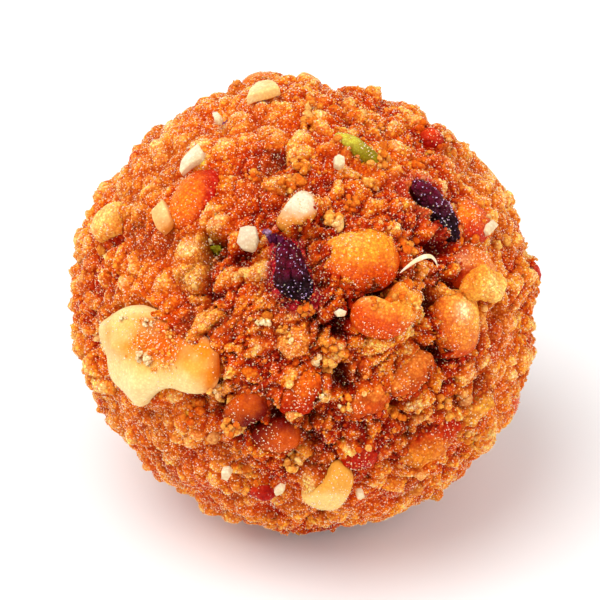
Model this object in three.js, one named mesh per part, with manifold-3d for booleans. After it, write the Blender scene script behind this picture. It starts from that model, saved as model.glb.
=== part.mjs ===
// A dry-fruit ladoo: a hand-rolled ball of sweet crumb bound with syrup,
// with nuts, raisins and seeds pressed into it.
// Millimetres, +Z up. The ball rests on a small flat spot, and the middle of that spot is the origin.

import * as THREE from "three";
import { mergeVertices } from "three/addons/utils/BufferGeometryUtils.js";
import Module from "manifold-3d";

const wasm = await Module();
wasm.setup();

// Driving dimensions of the ball
const BALL_DIAMETER = 58;
const REST_SPOT_DIAMETER = 19;
const OBLONG = 0.45; // how far the ball stands out along its longer way, and in across it
const OBLONG_TURN = -25; // degrees, the longer way on the best side

// The lumps that the packed crumb stands up in
const CORE_FINENESS = 14;
const LUMP_SPACING = 5;
const LUMP_HEIGHT = 2.2;
const LUMP_MIDDLE = 0.33; // the mean square distance to a lump's middle, in lump spacings

// Crumbs and flakes stuck to the ball
const STREWN_CRUMBS = 44;
const CRUMB_LENGTH = 3;
const FLAKE_THICKNESS = 1.5;

// Kernels and fruit: facets round each, the length of one ring of them, and the air left round it
const KERNEL_SIDES = 8;
const RING_LENGTH = 1.5;
const FEWEST_RINGS = 4;
const SOCKET_GAP = 0.35;

// The best side looks forwards and up. A place on it is given as it is seen from there,
// in millimetres to the right of the ball's middle and above it.
const SIDE_ELEVATION = 35;
const SIGHT_DISTANCE = 600;

// Pieces on the sides that don't show from there
const HIDDEN_SPOTS = 46;
const HIDDEN_CLEARANCE = 9.5;
const HIDDEN_KINDS = ["peanut", "raisin", "peanut", "cashew", "peanut", "cranberry", "peanut", "pistachio"];

const BALL_RADIUS = BALL_DIAMETER / 2;
const CORE_RADIUS = BALL_RADIUS - LUMP_HEIGHT / 4;
const CENTRE_HEIGHT = Math.sqrt(CORE_RADIUS ** 2 - (REST_SPOT_DIAMETER / 2) ** 2);
const GOLDEN_ANGLE = Math.PI * (3 - Math.sqrt(5));

// Each kind's usual size, its thickness as a share of its width, how blunt its ends are, how much one
// end tapers, how far it bends along its length (degrees), how deep its inner side is hollowed as a share
// of its half width, how far its top stands proud, and its finish
const NUT = { length: 8.6, width: 6.2, flat: 0.9, blunt: 0.3, taper: 0.08, bend: 0, hollow: 0, proud: 1.5 };
const CASHEW = { ...NUT, length: 13.5, width: 6.8, flat: 0.7, blunt: 1, bend: 95, hollow: 0.25 };
const KINDS = {
  peanut: { ...NUT, colour: 0xe07a1f, gloss: 0.35 },
  cashew: { ...CASHEW, colour: 0xf3cf83, gloss: 0.45 },
  raisin: { ...NUT, length: 8.4, width: 4.6, flat: 0.8, bend: 25, proud: 1.1, colour: 0x3d0a22, gloss: 0.3 },
  cranberry: { ...NUT, length: 4.2, width: 3.5, proud: 1, colour: 0xa81a12, gloss: 0.3 },
  pistachio: { ...NUT, length: 6.6, width: 2.3, bend: 12, proud: 1, colour: 0x9a9a1e, gloss: 0.5 },
};

// Pieces on the best side, the largest first: turn is the way of the length, in degrees from the right
const SHOWN = [
  { kind: "cashew", across: -18.2, up: -5.2, turn: -2, length: 12.8, width: 9.4, proud: 1.7, hollow: 0.4 },
  { kind: "peanut", across: 7.4, up: 5.9, turn: 8, length: 9.6, width: 7.2, proud: 1.8 },
  { kind: "peanut", across: 10.4, up: -1.7, turn: 18, length: 8.8, width: 5.4, proud: 1.4 },
  { kind: "peanut", across: 20, up: -2.7, turn: 100, length: 7.8, width: 5.8, proud: 1.4 },
  { kind: "peanut", across: 21.9, up: 4.7, turn: 140, length: 7.4, width: 6, proud: 1.3 },
  { kind: "peanut", across: 21.2, up: 10.7, turn: 30, length: 5, width: 4.6, proud: 1.3 },
  { kind: "peanut", across: -14.3, up: 13.6, turn: 58, length: 8.6, width: 6, proud: 1.6 },
  { kind: "peanut", across: 16.2, up: -17.4, turn: 38, length: 9.2, width: 5, proud: 1.3 },
  { kind: "peanut", across: 13.7, up: -9, turn: 44, length: 6.6, width: 4.4, proud: 1.2 },
  { kind: "peanut", across: 7.8, up: -12.5, turn: 12, length: 5.2, width: 3.8, proud: 1.1 },
  { kind: "peanut", across: 21.8, up: -12.7, turn: 50, length: 6, width: 3.8, proud: 1.2 },
  { kind: "peanut", across: -7.6, up: -13.6, turn: 34, length: 6.2, width: 4.2, proud: 1.2 },
  { kind: "peanut", across: -3.9, up: -17.2, turn: 22, length: 6.2, width: 4.8, proud: 1.3 },
  { kind: "peanut", across: -0.3, up: -11.6, turn: 42, length: 6, width: 4.6, proud: 1.2 },
  { kind: "peanut", across: -24.6, up: 10, turn: 58, length: 5.8, width: 3.6, proud: 0.9 },
  { kind: "cashew", across: -0.8, up: 11.8, turn: 38, length: 6.2, width: 4.4, proud: 1.4, bend: 20 },
  { kind: "cashew", across: 3, up: -22.9, turn: 222, length: 7.4, width: 3.4, proud: 1.1, bend: 55 },
  { kind: "raisin", across: -1.5, up: 4.3, turn: 118, length: 8.2, width: 5.2, proud: 0.9, taper: 0.25 },
  { kind: "raisin", across: 16.9, up: 12.4, turn: -54, length: 9.2, width: 3.6, proud: 1.1, bend: 40 },
  { kind: "cranberry", across: 7.1, up: -19.4, turn: 20 },
  { kind: "cranberry", across: -5.6, up: -23.9, turn: 10, length: 3.6, width: 2.9 },
  { kind: "cranberry", across: 16.4, up: 21.6, turn: -30, length: 3.8, width: 3.4 },
  { kind: "pistachio", across: 6.7, up: 20.1, turn: -46 },
];

// Nut flakes on the best side, pale slips a few millimetres long
const FLAKES = [
  { across: -14.2, up: 18.3, turn: 52, length: 4.2, width: 2 },
  { across: -17.8, up: 11, turn: 112, length: 4, width: 2.3 },
  { across: -7.2, up: 8.4, turn: 82, length: 3.3, width: 2.4 },
  { across: -5.2, up: 27, turn: 18, length: 4.4, width: 2 },
  { across: 4.3, up: 18.1, turn: 0, length: 1.8, width: 1.7 },
  { across: -11, up: 23.6, turn: 60, length: 1.7, width: 1.5 },
  { across: 14, up: 4.8, turn: 20, length: 4.6, width: 1.5 },
  { across: -9.6, up: -21.2, turn: 40, length: 1.8, width: 1.6 },
  { across: -3.1, up: -23.3, turn: 28, length: 1.9, width: 1.5 },
  { across: 6.9, up: -24.2, turn: 0, length: 1.7, width: 1.5 },
  { across: 4.6, up: -0.9, turn: 0, length: 1.8, width: 1.6 },
];

// Golden crumbs on the best side
const CRUMBS = [
  { across: -0.7, up: 17.7, turn: 40, length: 3.9 },
  { across: 1.1, up: 25.1, turn: 70, length: 3.8 },
  { across: 3.4, up: 10.6, turn: 15, length: 3.5 },
  { across: 8.9, up: 16, turn: 50, length: 3.2 },
  { across: 9.9, up: 18.9, turn: 10, length: 2.8 },
  { across: 15.1, up: 18.3, turn: 60, length: 3.2 },
  { across: -6.6, up: 16.8, turn: 30, length: 2.6 },
  { across: 26.2, up: 8, turn: 80, length: 3 },
  { across: 17.8, up: -12.6, turn: 70, length: 3.4 },
  { across: 12, up: -14.8, turn: 50, length: 4 },
  { across: 20.9, up: -16.8, turn: 30, length: 2.8 },
  { across: -1.5, up: -20.2, turn: 20, length: 3.2 },
  { across: -5.2, up: -1.9, turn: 40, length: 3.2 },
  { across: 1.7, up: -7.2, turn: 60, length: 2.8 },
  { across: -11, up: -11, turn: 30, length: 2.8 },
];

const degrees = THREE.MathUtils.degToRad;
const elevation = degrees(SIDE_ELEVATION);
const BEST_SIDE = {
  right: new THREE.Vector3(1, 0, 0),
  up: new THREE.Vector3(0, Math.sin(elevation), Math.cos(elevation)),
  out: new THREE.Vector3(0, -Math.cos(elevation), Math.sin(elevation)),
};

// A vector lying flat to the best side
function flatToSide(across, up) {
  return new THREE.Vector3().addScaledVector(BEST_SIDE.right, across).addScaledVector(BEST_SIDE.up, up);
}

// A repeatable random number from 0 to 1 for three whole numbers and a salt
function randomFor(a, b, c, salt) {
  const mixed = Math.imul(a, 0x8da6b343) ^ Math.imul(b, 0xd8163841) ^ Math.imul(c, 0xcb1ab31f);
  let hash = mixed ^ Math.imul(salt, 0x9e3779b1);
  hash = Math.imul(hash ^ (hash >>> 15), 0x2c1b3c6d);
  hash = Math.imul(hash ^ (hash >>> 12), 0x297a2d39);
  return ((hash ^ (hash >>> 15)) >>> 0) / 2 ** 32;
}

// Distance from a point to the nearest lump's middle, in lump spacings:
// one middle is strewn in each cube of a lattice
function nearestLump(point) {
  const cube = point.clone().divideScalar(LUMP_SPACING);
  const home = cube.clone().floor();
  const steps = [-1, 0, 1];
  let nearest = Infinity;
  for (const i of steps)
    for (const j of steps)
      for (const k of steps) {
        const corner = home.clone().add(new THREE.Vector3(i, j, k));
        const strewn = [1, 2, 3].map((salt) => randomFor(corner.x, corner.y, corner.z, salt));
        nearest = Math.min(nearest, corner.add(new THREE.Vector3(...strewn)).distanceTo(cube));
      }
  return nearest;
}

// How far the ball stands out beyond a true sphere, longer one way than the other
function oblongRise(direction) {
  const turn = degrees(OBLONG_TURN);
  const longWay = flatToSide(Math.cos(turn), Math.sin(turn));
  return OBLONG * (2 * direction.dot(longWay) ** 2 - 1);
}

// The crumb's surface: an oblong ball whose lumps are round on top and meet in creases
function crumbRadius(direction) {
  const fall = nearestLump(direction.clone().multiplyScalar(CORE_RADIUS)) ** 2;
  return CORE_RADIUS + oblongRise(direction) + LUMP_HEIGHT * (LUMP_MIDDLE - Math.min(1, fall));
}

// Where the line of sight through a place on the best side meets the ball, as an outward direction
function directionSeen({ across, up }) {
  const eye = BEST_SIDE.out.clone().multiplyScalar(SIGHT_DISTANCE);
  const sight = new THREE.Ray(eye, flatToSide(across, up).sub(eye).normalize());
  return sight.intersectSphere(new THREE.Sphere(undefined, BALL_RADIUS), new THREE.Vector3()).normalize();
}

// Points spread evenly over a sphere along a spiral
function spiralDirection(index, count) {
  const height = 1 - (2 * index + 1) / count;
  const angle = GOLDEN_ANGLE * index;
  const ring = Math.sqrt(1 - height ** 2);
  return new THREE.Vector3(ring * Math.cos(angle), ring * Math.sin(angle), height);
}

// A turned frame on the ball: X along the piece, Y across it and Z outwards
function frameOn(outward, along) {
  const across = outward.clone().cross(along).normalize();
  return new THREE.Matrix4().makeBasis(across.clone().cross(outward), across, outward);
}

// The same for a piece on the best side, by the turn it is seen at
function frameSeen(piece) {
  const turn = degrees(piece.turn);
  return frameOn(directionSeen(piece), flatToSide(Math.cos(turn), Math.sin(turn)));
}

// The same for a piece elsewhere, turned by chance
function frameStrewn(outward, index) {
  const sideways = new THREE.Vector3(-outward.y, outward.x, 0).normalize();
  return frameOn(outward, sideways.applyAxisAngle(outward, 2 * Math.PI * randomFor(index, 0, 0, 7)));
}

function outwardOf(frame) {
  return new THREE.Vector3().setFromMatrixColumn(frame, 2);
}

// A closed solid from a geometry's positions alone
function solidOf(geometry) {
  geometry.deleteAttribute("normal");
  geometry.deleteAttribute("uv");
  const welded = mergeVertices(geometry, 1e-4);
  const vertProperties = new Float32Array(welded.attributes.position.array);
  const triVerts = new Uint32Array(welded.index.array);
  return new wasm.Manifold(new wasm.Mesh({ numProp: 3, vertProperties, triVerts }));
}

function geometryOf(solid) {
  const { vertProperties, triVerts } = solid.getMesh();
  const geometry = new THREE.BufferGeometry();
  geometry.setAttribute("position", new THREE.BufferAttribute(vertProperties, 3));
  geometry.setIndex(new THREE.BufferAttribute(triVerts, 1));
  geometry.computeVertexNormals();
  return geometry;
}

// Moves every vertex of a geometry by a function of its place
function reshape(geometry, move) {
  const places = geometry.attributes.position;
  const place = new THREE.Vector3();
  for (let i = 0; i < places.count; i++) {
    move(place.fromBufferAttribute(places, i));
    places.setXYZ(i, place.x, place.y, place.z);
  }
  return geometry;
}

// A kernel along X: a ball drawn out to length, width and thickness, fuller at both ends the blunter it is,
// slimmer towards +X by the taper, hollowed along its -Y side, and with its spine bent along an arc
// so that both ends turn towards -Y
function kernelGeometry({ length, width, flat, blunt, taper, bend, hollow }, grow = 0) {
  const half = { along: length / 2 + grow, across: width / 2 + grow, out: (width * flat) / 2 + grow };
  const halfBend = degrees(bend) / 2;
  const arc = half.along / Math.sin(halfBend);
  const rings = Math.max(FEWEST_RINGS, Math.round(length / RING_LENGTH));
  const geometry = new THREE.SphereGeometry(1, KERNEL_SIDES, rings).rotateZ(-Math.PI / 2);
  return reshape(geometry, (place) => {
    const girth = (1 - taper * place.x) * Math.sqrt(1 + blunt * place.x ** 2);
    const inner = place.y < 0 ? 1 - hollow * (1 - place.x ** 2) ** 2 : 1;
    const side = place.y * girth * inner * half.across;
    place.z *= girth * half.out;
    if (bend === 0) {
      place.x *= half.along;
      place.y = side;
    } else {
      const angle = place.x * halfBend;
      place.x = (arc + side) * Math.sin(angle);
      place.y = (arc + side) * Math.cos(angle) - (arc * (1 + Math.cos(halfBend))) / 2;
    }
  });
}

// Everything about one piece: its kind's finish and sizes, and its place and turn on the ball
function settled(piece, place) {
  const made = { ...KINDS[piece.kind], ...piece };
  const outward = outwardOf(place);
  const depth = BALL_RADIUS + oblongRise(outward) + made.proud - (made.width * made.flat) / 2;
  return { ...made, outward, place: place.setPosition(outward.clone().multiplyScalar(depth)) };
}

// Pieces on the hidden sides: spiral points out of sight, clear of the rest spot and of the pieces that show
function hiddenPieces(shown) {
  const rimDepth = BALL_RADIUS ** 2 / SIGHT_DISTANCE;
  const pieces = [];
  for (let index = 0; index < HIDDEN_SPOTS; index++) {
    const outward = spiralDirection(index, HIDDEN_SPOTS);
    const inSight = BALL_RADIUS * outward.dot(BEST_SIDE.out) > rimDepth;
    const underneath = BALL_RADIUS * outward.z < -CENTRE_HEIGHT * 0.72;
    const crowded = shown.some((other) => other.outward.distanceTo(outward) * BALL_RADIUS < HIDDEN_CLEARANCE);
    if (inSight || underneath || crowded) continue;
    const kind = HIDDEN_KINDS[pieces.length % HIDDEN_KINDS.length];
    pieces.push(settled({ kind }, frameStrewn(outward, index)));
  }
  return pieces;
}

// A crumb: a faceted stone half sunk in the ball
function crumbSolid(length, width, frame) {
  const outward = outwardOf(frame);
  frame.setPosition(outward.multiplyScalar(crumbRadius(outward)));
  const stone = new THREE.IcosahedronGeometry(1, 0).scale(length / 2, width / 2, width / 2);
  return solidOf(stone.applyMatrix4(frame));
}

// A nut flake: a five-cornered slip lying on the ball, half sunk
function flakeSolid(flake) {
  const frame = frameSeen(flake);
  const outward = outwardOf(frame);
  frame.setPosition(outward.multiplyScalar(crumbRadius(outward)));
  const slip = new THREE.CylinderGeometry(0.85, 1, FLAKE_THICKNESS, 5).rotateX(Math.PI / 2);
  return solidOf(slip.scale(flake.length / 2, flake.width / 2, 1).applyMatrix4(frame));
}

// Crumbs strewn over the whole ball wherever no piece is
function strewnCrumbs(pieces) {
  const crumbs = [];
  for (let index = 0; index < STREWN_CRUMBS; index++) {
    const outward = spiralDirection(index, STREWN_CRUMBS);
    const length = CRUMB_LENGTH * (0.75 + 0.5 * randomFor(index, 0, 0, 11));
    const width = length * (0.6 + 0.3 * randomFor(index, 0, 0, 12));
    const crowded = pieces.some(
      (piece) => piece.outward.distanceTo(outward) * BALL_RADIUS < (piece.length + length) / 2 + SOCKET_GAP,
    );
    if (!crowded) crumbs.push(crumbSolid(length, width, frameStrewn(outward, index)));
  }
  return crumbs;
}

// The packed crumb: a lumpy ball with crumbs and flakes joined to it,
// a socket for every piece, and the flat spot it rests on cut below
function crumbBall(pieces) {
  const core = reshape(new THREE.IcosahedronGeometry(1, CORE_FINENESS), (place) => {
    place.multiplyScalar(crumbRadius(place.clone().normalize()));
  });
  const goldenCrumbs = CRUMBS.map((crumb) => crumbSolid(crumb.length, crumb.length * 0.8, frameSeen(crumb)));
  let ball = solidOf(core);
  for (const stuck of [...strewnCrumbs(pieces), ...goldenCrumbs, ...FLAKES.map(flakeSolid)]) {
    ball = ball.add(stuck);
  }
  for (const piece of pieces) {
    const socket = kernelGeometry(piece, SOCKET_GAP).applyMatrix4(piece.place);
    ball = ball.subtract(solidOf(socket));
  }
  const below = new THREE.BoxGeometry(BALL_DIAMETER, BALL_DIAMETER, BALL_DIAMETER);
  ball = ball.subtract(solidOf(below.translate(0, 0, -CENTRE_HEIGHT - BALL_RADIUS)));
  const bodies = ball.decompose().sort((one, other) => other.volume() - one.volume());
  return geometryOf(bodies[0]);
}

const ladoo = new THREE.Group();
ladoo.name = "ladoo";
ladoo.position.z = CENTRE_HEIGHT;

const shown = SHOWN.map((piece) => settled(piece, frameSeen(piece)));
const pieces = [...shown, ...hiddenPieces(shown)];

const crumb = new THREE.Mesh(
  crumbBall(pieces),
  new THREE.MeshStandardMaterial({ color: 0xcf6a26, roughness: 0.5, metalness: 0 }),
);
crumb.name = "crumb_ball";
ladoo.add(crumb);

const counts = {};
for (const piece of pieces) {
  counts[piece.kind] = (counts[piece.kind] ?? 0) + 1;
  const finish = { color: piece.colour, roughness: piece.gloss, metalness: 0 };
  const mesh = new THREE.Mesh(kernelGeometry(piece), new THREE.MeshStandardMaterial(finish));
  mesh.name = `${piece.kind}_${counts[piece.kind]}`;
  mesh.position.setFromMatrixPosition(piece.place);
  mesh.quaternion.setFromRotationMatrix(piece.place);
  ladoo.add(mesh);
}

export default ladoo;
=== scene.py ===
import math

import bpy
import numpy as np
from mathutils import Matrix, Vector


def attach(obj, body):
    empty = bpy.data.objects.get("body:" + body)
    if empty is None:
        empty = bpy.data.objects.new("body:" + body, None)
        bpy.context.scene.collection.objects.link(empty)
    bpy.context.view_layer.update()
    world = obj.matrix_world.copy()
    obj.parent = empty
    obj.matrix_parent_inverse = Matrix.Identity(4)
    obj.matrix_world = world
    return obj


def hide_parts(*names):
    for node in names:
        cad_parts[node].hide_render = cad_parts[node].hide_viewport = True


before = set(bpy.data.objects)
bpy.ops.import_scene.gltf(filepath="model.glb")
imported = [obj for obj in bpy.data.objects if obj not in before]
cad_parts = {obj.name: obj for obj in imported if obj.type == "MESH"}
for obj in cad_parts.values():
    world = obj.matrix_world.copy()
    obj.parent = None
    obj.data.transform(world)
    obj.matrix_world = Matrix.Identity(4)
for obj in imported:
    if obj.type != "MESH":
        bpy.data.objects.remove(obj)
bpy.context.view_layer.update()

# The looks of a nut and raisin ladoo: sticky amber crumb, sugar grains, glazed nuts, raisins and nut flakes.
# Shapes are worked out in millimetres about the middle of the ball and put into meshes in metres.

# Sizes shared with the solids, in millimetres
BALL_RADIUS = 29.0
REST_SPOT_RADIUS = 9.5
OBLONG = 0.45
OBLONG_TURN = math.radians(-25)
LUMP_SPACING = 5.0
LUMP_HEIGHT = 2.2
LUMP_MIDDLE = 0.33
CORE_RADIUS = BALL_RADIUS - LUMP_HEIGHT / 4
CENTRE_HEIGHT = math.sqrt(CORE_RADIUS**2 - REST_SPOT_RADIUS**2)
BALL_MIDDLE = np.array((0.0, 0.0, CENTRE_HEIGHT))
METRE = 0.001

# The best side, which the camera faces: where it looks, and how it is framed in a picture of 600 x 600
SIDE_ELEVATION = math.radians(35)
SIGHT_DISTANCE = 600.0
PICTURE_SIDE = 600
MM_IN_PIXEL = 0.1262
BALL_IN_PICTURE = (304.2, 305.0)
RIGHT = np.array((1.0, 0.0, 0.0))
UP = np.array((0.0, math.sin(SIDE_ELEVATION), math.cos(SIDE_ELEVATION)))
OUT = np.array((0.0, -math.cos(SIDE_ELEVATION), math.sin(SIDE_ELEVATION)))

# How finely the crumb's skin is divided: squares along one edge of the cube it is blown up from
SKIN_SQUARES = 128


def paint(*rgb):
    """A colour given as a screen shows it, from 0 to 255, as linear light."""
    share = np.array(rgb) / 255.0
    return np.where(share <= 0.04045, share / 12.92, ((share + 0.055) / 1.055) ** 2.4)


def ease(low, high, value):
    """0 up to low, 1 from high on, and a smooth S between them."""
    share = np.clip((value - low) / (high - low), 0.0, 1.0)
    return share * share * (3.0 - 2.0 * share)


def unit(vectors):
    """Vectors drawn to a length of 1."""
    return vectors / np.linalg.norm(vectors, axis=-1, keepdims=True)


def pick(paints, shares):
    """A colour from an even row of them for each share from 0 to 1."""
    stops = np.linspace(0, 1, len(paints))
    return np.stack([np.interp(shares, stops, np.array(paints)[:, band]) for band in range(3)], axis=-1)


def turned(tints, shares, colour):
    """Colours turned towards another by a share for each."""
    return tints + shares[:, None] * (colour - tints)


def chance(cells, salt):
    """A repeatable number from 0 to 1 for each triple of whole numbers: each is multiplied by an odd
    constant, they are mixed by exclusive-or and shifts, and the 32 bits left are read as a fraction."""
    whole = np.asarray(cells).astype(np.int64).astype(np.uint32)
    bits = whole[..., 0] * np.uint32(0x8DA6B343)
    bits = bits ^ (whole[..., 1] * np.uint32(0xD8163841))
    bits = bits ^ (whole[..., 2] * np.uint32(0xCB1AB31F))
    bits = bits ^ np.uint32((salt * 0x9E3779B1) & 0xFFFFFFFF)
    bits = (bits ^ (bits >> np.uint32(15))) * np.uint32(0x2C1B3C6D)
    bits = (bits ^ (bits >> np.uint32(12))) * np.uint32(0x297A2D39)
    return (bits ^ (bits >> np.uint32(15))).astype(np.float64) / 2.0**32


def draws(count, salt):
    """One repeatable number from 0 to 1 for each of a run of things."""
    run = np.arange(count)
    return chance(np.stack([run, run * 0, run * 0], axis=-1), salt)


# Farther, in spacings, than any lump is from its nearest
FAR_OFF = 9.0


def lumps(points, spacing, salt):
    """Distances, in spacings, to the nearest and the second nearest of the middles strewn one to a cube of a
    lattice, and a number from 0 to 1 that names the nearest."""
    cube = points / spacing
    home = np.floor(cube)
    near = np.full(len(points), FAR_OFF)
    second = np.full(len(points), FAR_OFF)
    name = np.zeros(len(points))
    for step in np.ndindex(3, 3, 3):
        corner = home + (np.array(step) - 1)
        middle = corner + np.stack([chance(corner, salt + axis) for axis in range(3)], axis=-1)
        gap = np.linalg.norm(middle - cube, axis=1)
        closer = gap < near
        second = np.where(closer, near, np.minimum(second, gap))
        name = np.where(closer, chance(corner, salt + 3), name)
        near = np.minimum(near, gap)
    return near, second, name


def pillow(near, second, width, sharp=1.0):
    """A rounded cushion between borders: 0 where two lumps meet, rising to 1 as a quarter circle where
    it is sharp and as a smooth S where it is not."""
    share = np.minimum((second - near) / width, 1.0)
    smooth = share * share * (3.0 - 2.0 * share)
    return smooth + sharp * (np.sqrt(1.0 - (1.0 - share) ** 2) - smooth)


def drift(points, spacing, salt):
    """Smooth noise from -1 to 1: chance values at the corners of a lattice, blended across each cube by an
    eased share of the way."""
    cube = points / spacing
    home = np.floor(cube)
    way = cube - home
    way = way * way * (3.0 - 2.0 * way)
    total = np.zeros(len(points))
    for step in np.ndindex(2, 2, 2):
        corner = np.array(step)
        weight = np.prod(np.where(corner == 1, way, 1.0 - way), axis=1)
        total += weight * chance(home + corner, salt)
    return 2.0 * total - 1.0


def drift_vectors(points, spacing, salt):
    """Three smooth noises, one along each axis, as vectors."""
    return np.stack([drift(points, spacing, salt + axis) for axis in range(3)], axis=-1)


def flat_to_side(turn):
    """The direction in the plane of the best side at a turn from the right, in radians."""
    return math.cos(turn) * RIGHT + math.sin(turn) * UP


def seen(across, up, radius=BALL_RADIUS):
    """Where the line of sight through a place on the best side meets a sphere about the ball's middle,
    as outward directions: the nearer root of the quadratic for a line from the eye and a sphere."""
    eye = OUT * SIGHT_DISTANCE
    sight = unit(np.multiply.outer(across, RIGHT) + np.multiply.outer(up, UP) - eye)
    towards = -(sight @ eye)
    reach = towards - np.sqrt(np.maximum(0.0, towards**2 - SIGHT_DISTANCE**2 + radius**2))
    return unit(eye + sight * reach[..., None])


def spot_of(pixels):
    """Places across and up, in millimetres, of picture pixels."""
    pixels = np.array(pixels, dtype=float)
    across = (pixels[:, 0] - BALL_IN_PICTURE[0]) * MM_IN_PIXEL
    up = (BALL_IN_PICTURE[1] - pixels[:, 1]) * MM_IN_PIXEL
    return across, up


def pixels_of(points):
    """The picture pixels, to right and down, that points about the ball's middle show at: the places
    where their lines of sight cross the plane through the middle."""
    scale = SIGHT_DISTANCE / (SIGHT_DISTANCE - points @ OUT) / MM_IN_PIXEL
    return BALL_IN_PICTURE[0] + points @ RIGHT * scale, BALL_IN_PICTURE[1] - points @ UP * scale


def spiral(count):
    """Directions spread evenly over a sphere along a spiral of golden angles."""
    run = np.arange(count)
    height = 1.0 - (2.0 * run + 1.0) / count
    ring = np.sqrt(1.0 - height**2)
    angle = run * math.pi * (3.0 - math.sqrt(5.0))
    return np.stack([ring * np.cos(angle), ring * np.sin(angle), height], axis=-1)


# Kernels and fruit: how blunt, bent (degrees) and hollowed each kind is, as in the solids
FORMS = {
    "peanut": {"length": 8.6, "width": 6.2, "blunt": 0.3, "bend": 0.0, "hollow": 0.0},
    "cashew": {"length": 13.5, "width": 6.8, "blunt": 1.0, "bend": 95.0, "hollow": 0.25},
    "raisin": {"length": 8.4, "width": 4.6, "blunt": 0.3, "bend": 25.0, "hollow": 0.0},
    "cranberry": {"length": 4.2, "width": 3.5, "blunt": 0.3, "bend": 0.0, "hollow": 0.0},
    "pistachio": {"length": 6.6, "width": 2.3, "blunt": 0.3, "bend": 12.0, "hollow": 0.0},
}
OWN_FORMS = {
    "raisin_2": {"length": 9.2, "width": 3.6, "bend": 40.0},
}
# How much longer and broader the syrup that coats a kernel makes it than its solid
GLAZE = {
    "peanut_1": (1.08, 1.14),
    "peanut_3": (1.04, 1.14),
    "peanut_4": (1.02, 1.06),
    "peanut_5": (1.2, 1.2),
    "cranberry_1": (1.1, 1.2),
}


# How finely an outline is divided to find its box, and how far out from the middle a kernel's ends begin
OUTLINE_GRID = (33, 24)
END_SHARE = 0.75


def settle(name):
    """Where a kernel lies, read from its solid: its middle, its axes along, across and outwards, and its
    box along those axes, drawn out by its glaze. Along is the main direction of its spread in the plane
    that faces outwards. Across is turned so that the ends bend against it, and taper says how much
    slimmer the end along it is."""
    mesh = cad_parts[name].data
    flat = np.empty(len(mesh.vertices) * 3)
    mesh.vertices.foreach_get("co", flat)
    points = flat.reshape(-1, 3) / METRE - BALL_MIDDLE
    middle = (points.min(axis=0) + points.max(axis=0)) / 2
    outward = unit(middle)
    spread = points - middle
    spread = spread - np.outer(spread @ outward, outward)
    along = np.linalg.svd(spread, full_matrices=False)[2][0]
    along = unit(along - outward * (along @ outward))
    across = np.cross(outward, along)
    length, width = np.abs(spread @ along), spread @ across
    ends = length > END_SHARE * length.max()
    if width[ends].mean() > width[~ends].mean():
        along, across = -along, -across
    axes = np.stack([along, across, outward])
    local = (points - middle) @ axes.T
    front = np.abs(local[local[:, 0] > 0, 1]).mean()
    back = np.abs(local[local[:, 0] < 0, 1]).mean()
    kind = name.rsplit("_", 1)[0]
    drawn = np.array((*GLAZE.get(name, (1.0, 1.0)), 1.0))
    nut = {
        **FORMS[kind],
        **OWN_FORMS.get(name, {}),
        "name": name,
        "kind": kind,
        "middle": middle,
        "axes": axes,
        "low": local.min(axis=0) * drawn,
        "high": local.max(axis=0) * drawn,
        "taper": (back - front) / (back + front),
    }
    outline = kernel_outline(nut, *kernel_grid(*OUTLINE_GRID)).reshape(-1, 3)
    nut["outline_box"] = (outline.min(axis=0), outline.max(axis=0))
    nut["size"] = np.abs(nut["high"] - nut["low"]).max()
    return nut


def bent(x, side, nut):
    """A spine from -1 to 1 and a sideways distance from it, laid along an arc whose ends turn towards -Y."""
    half = nut["length"] / 2
    if nut["bend"] == 0:
        return x * half, side
    half_bend = math.radians(nut["bend"]) / 2
    arc = half / math.sin(half_bend)
    angle = x * half_bend
    drop = arc * (1 + math.cos(half_bend)) / 2
    return (arc + side) * np.sin(angle), (arc + side) * np.cos(angle) - drop


def kernel_outline(nut, x, y, z):
    """A kernel from a unit ball: fuller at both ends the blunter it is, slimmer towards +X by the taper,
    hollowed along its -Y side, drawn out to width and bent along its arc."""
    girth = (1 - nut["taper"] * x) * np.sqrt(1 + nut["blunt"] * x**2)
    inner = np.where(y < 0, 1 - nut["hollow"] * (1 - x**2) ** 2, 1.0)
    side = y * girth * inner * nut["width"] / 2
    far, wide = bent(x, side, nut)
    return np.stack([far, wide, z * girth], axis=-1)


def kernel_grid(rows, columns):
    """A unit ball with its poles on X: latitude from pole to pole by rows and longitude round it by
    columns."""
    latitude, longitude = np.meshgrid(
        np.linspace(0, math.pi, rows), np.linspace(0, 2 * math.pi, columns, endpoint=False), indexing="ij"
    )
    ring = np.sin(latitude)
    return np.cos(latitude), ring * np.cos(longitude), ring * np.sin(longitude)


def fitted(nut, outline):
    """Points of a kernel's own outline, stretched into its solid's box and carried to its place."""
    low, high = nut["outline_box"]
    local = nut["low"] + (outline - low) / (high - low) * (nut["high"] - nut["low"])
    return local @ nut["axes"] + nut["middle"]


def reach_of_kernel(nut, points):
    """How far points lie from a kernel's spine as shares of its outline, seen from outside: under 1
    within it. The points go into the kernel's box, the arc is unbent, and the spine and sideways shares
    are squared and added."""
    local = (points - nut["middle"]) @ nut["axes"].T
    low, high = nut["outline_box"]
    share = (local - nut["low"]) / (nut["high"] - nut["low"])
    x = low[0] + share[:, 0] * (high[0] - low[0])
    y = low[1] + share[:, 1] * (high[1] - low[1])
    half = nut["length"] / 2
    if nut["bend"] == 0:
        spine, side = x / half, y
    else:
        half_bend = math.radians(nut["bend"]) / 2
        arc = half / math.sin(half_bend)
        drop = arc * (1 + math.cos(half_bend)) / 2
        spine = np.arctan2(x, y + drop) / half_bend
        side = np.hypot(x, y + drop) - arc
    within = np.clip(spine, -1, 1)
    girth = (1 - nut["taper"] * within) * np.sqrt(1 + nut["blunt"] * within**2)
    inner = np.where(side < 0, 1 - nut["hollow"] * (1 - within**2) ** 2, 1.0)
    return np.sqrt(spine**2 + (side / (girth * inner * nut["width"] / 2)) ** 2)


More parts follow.
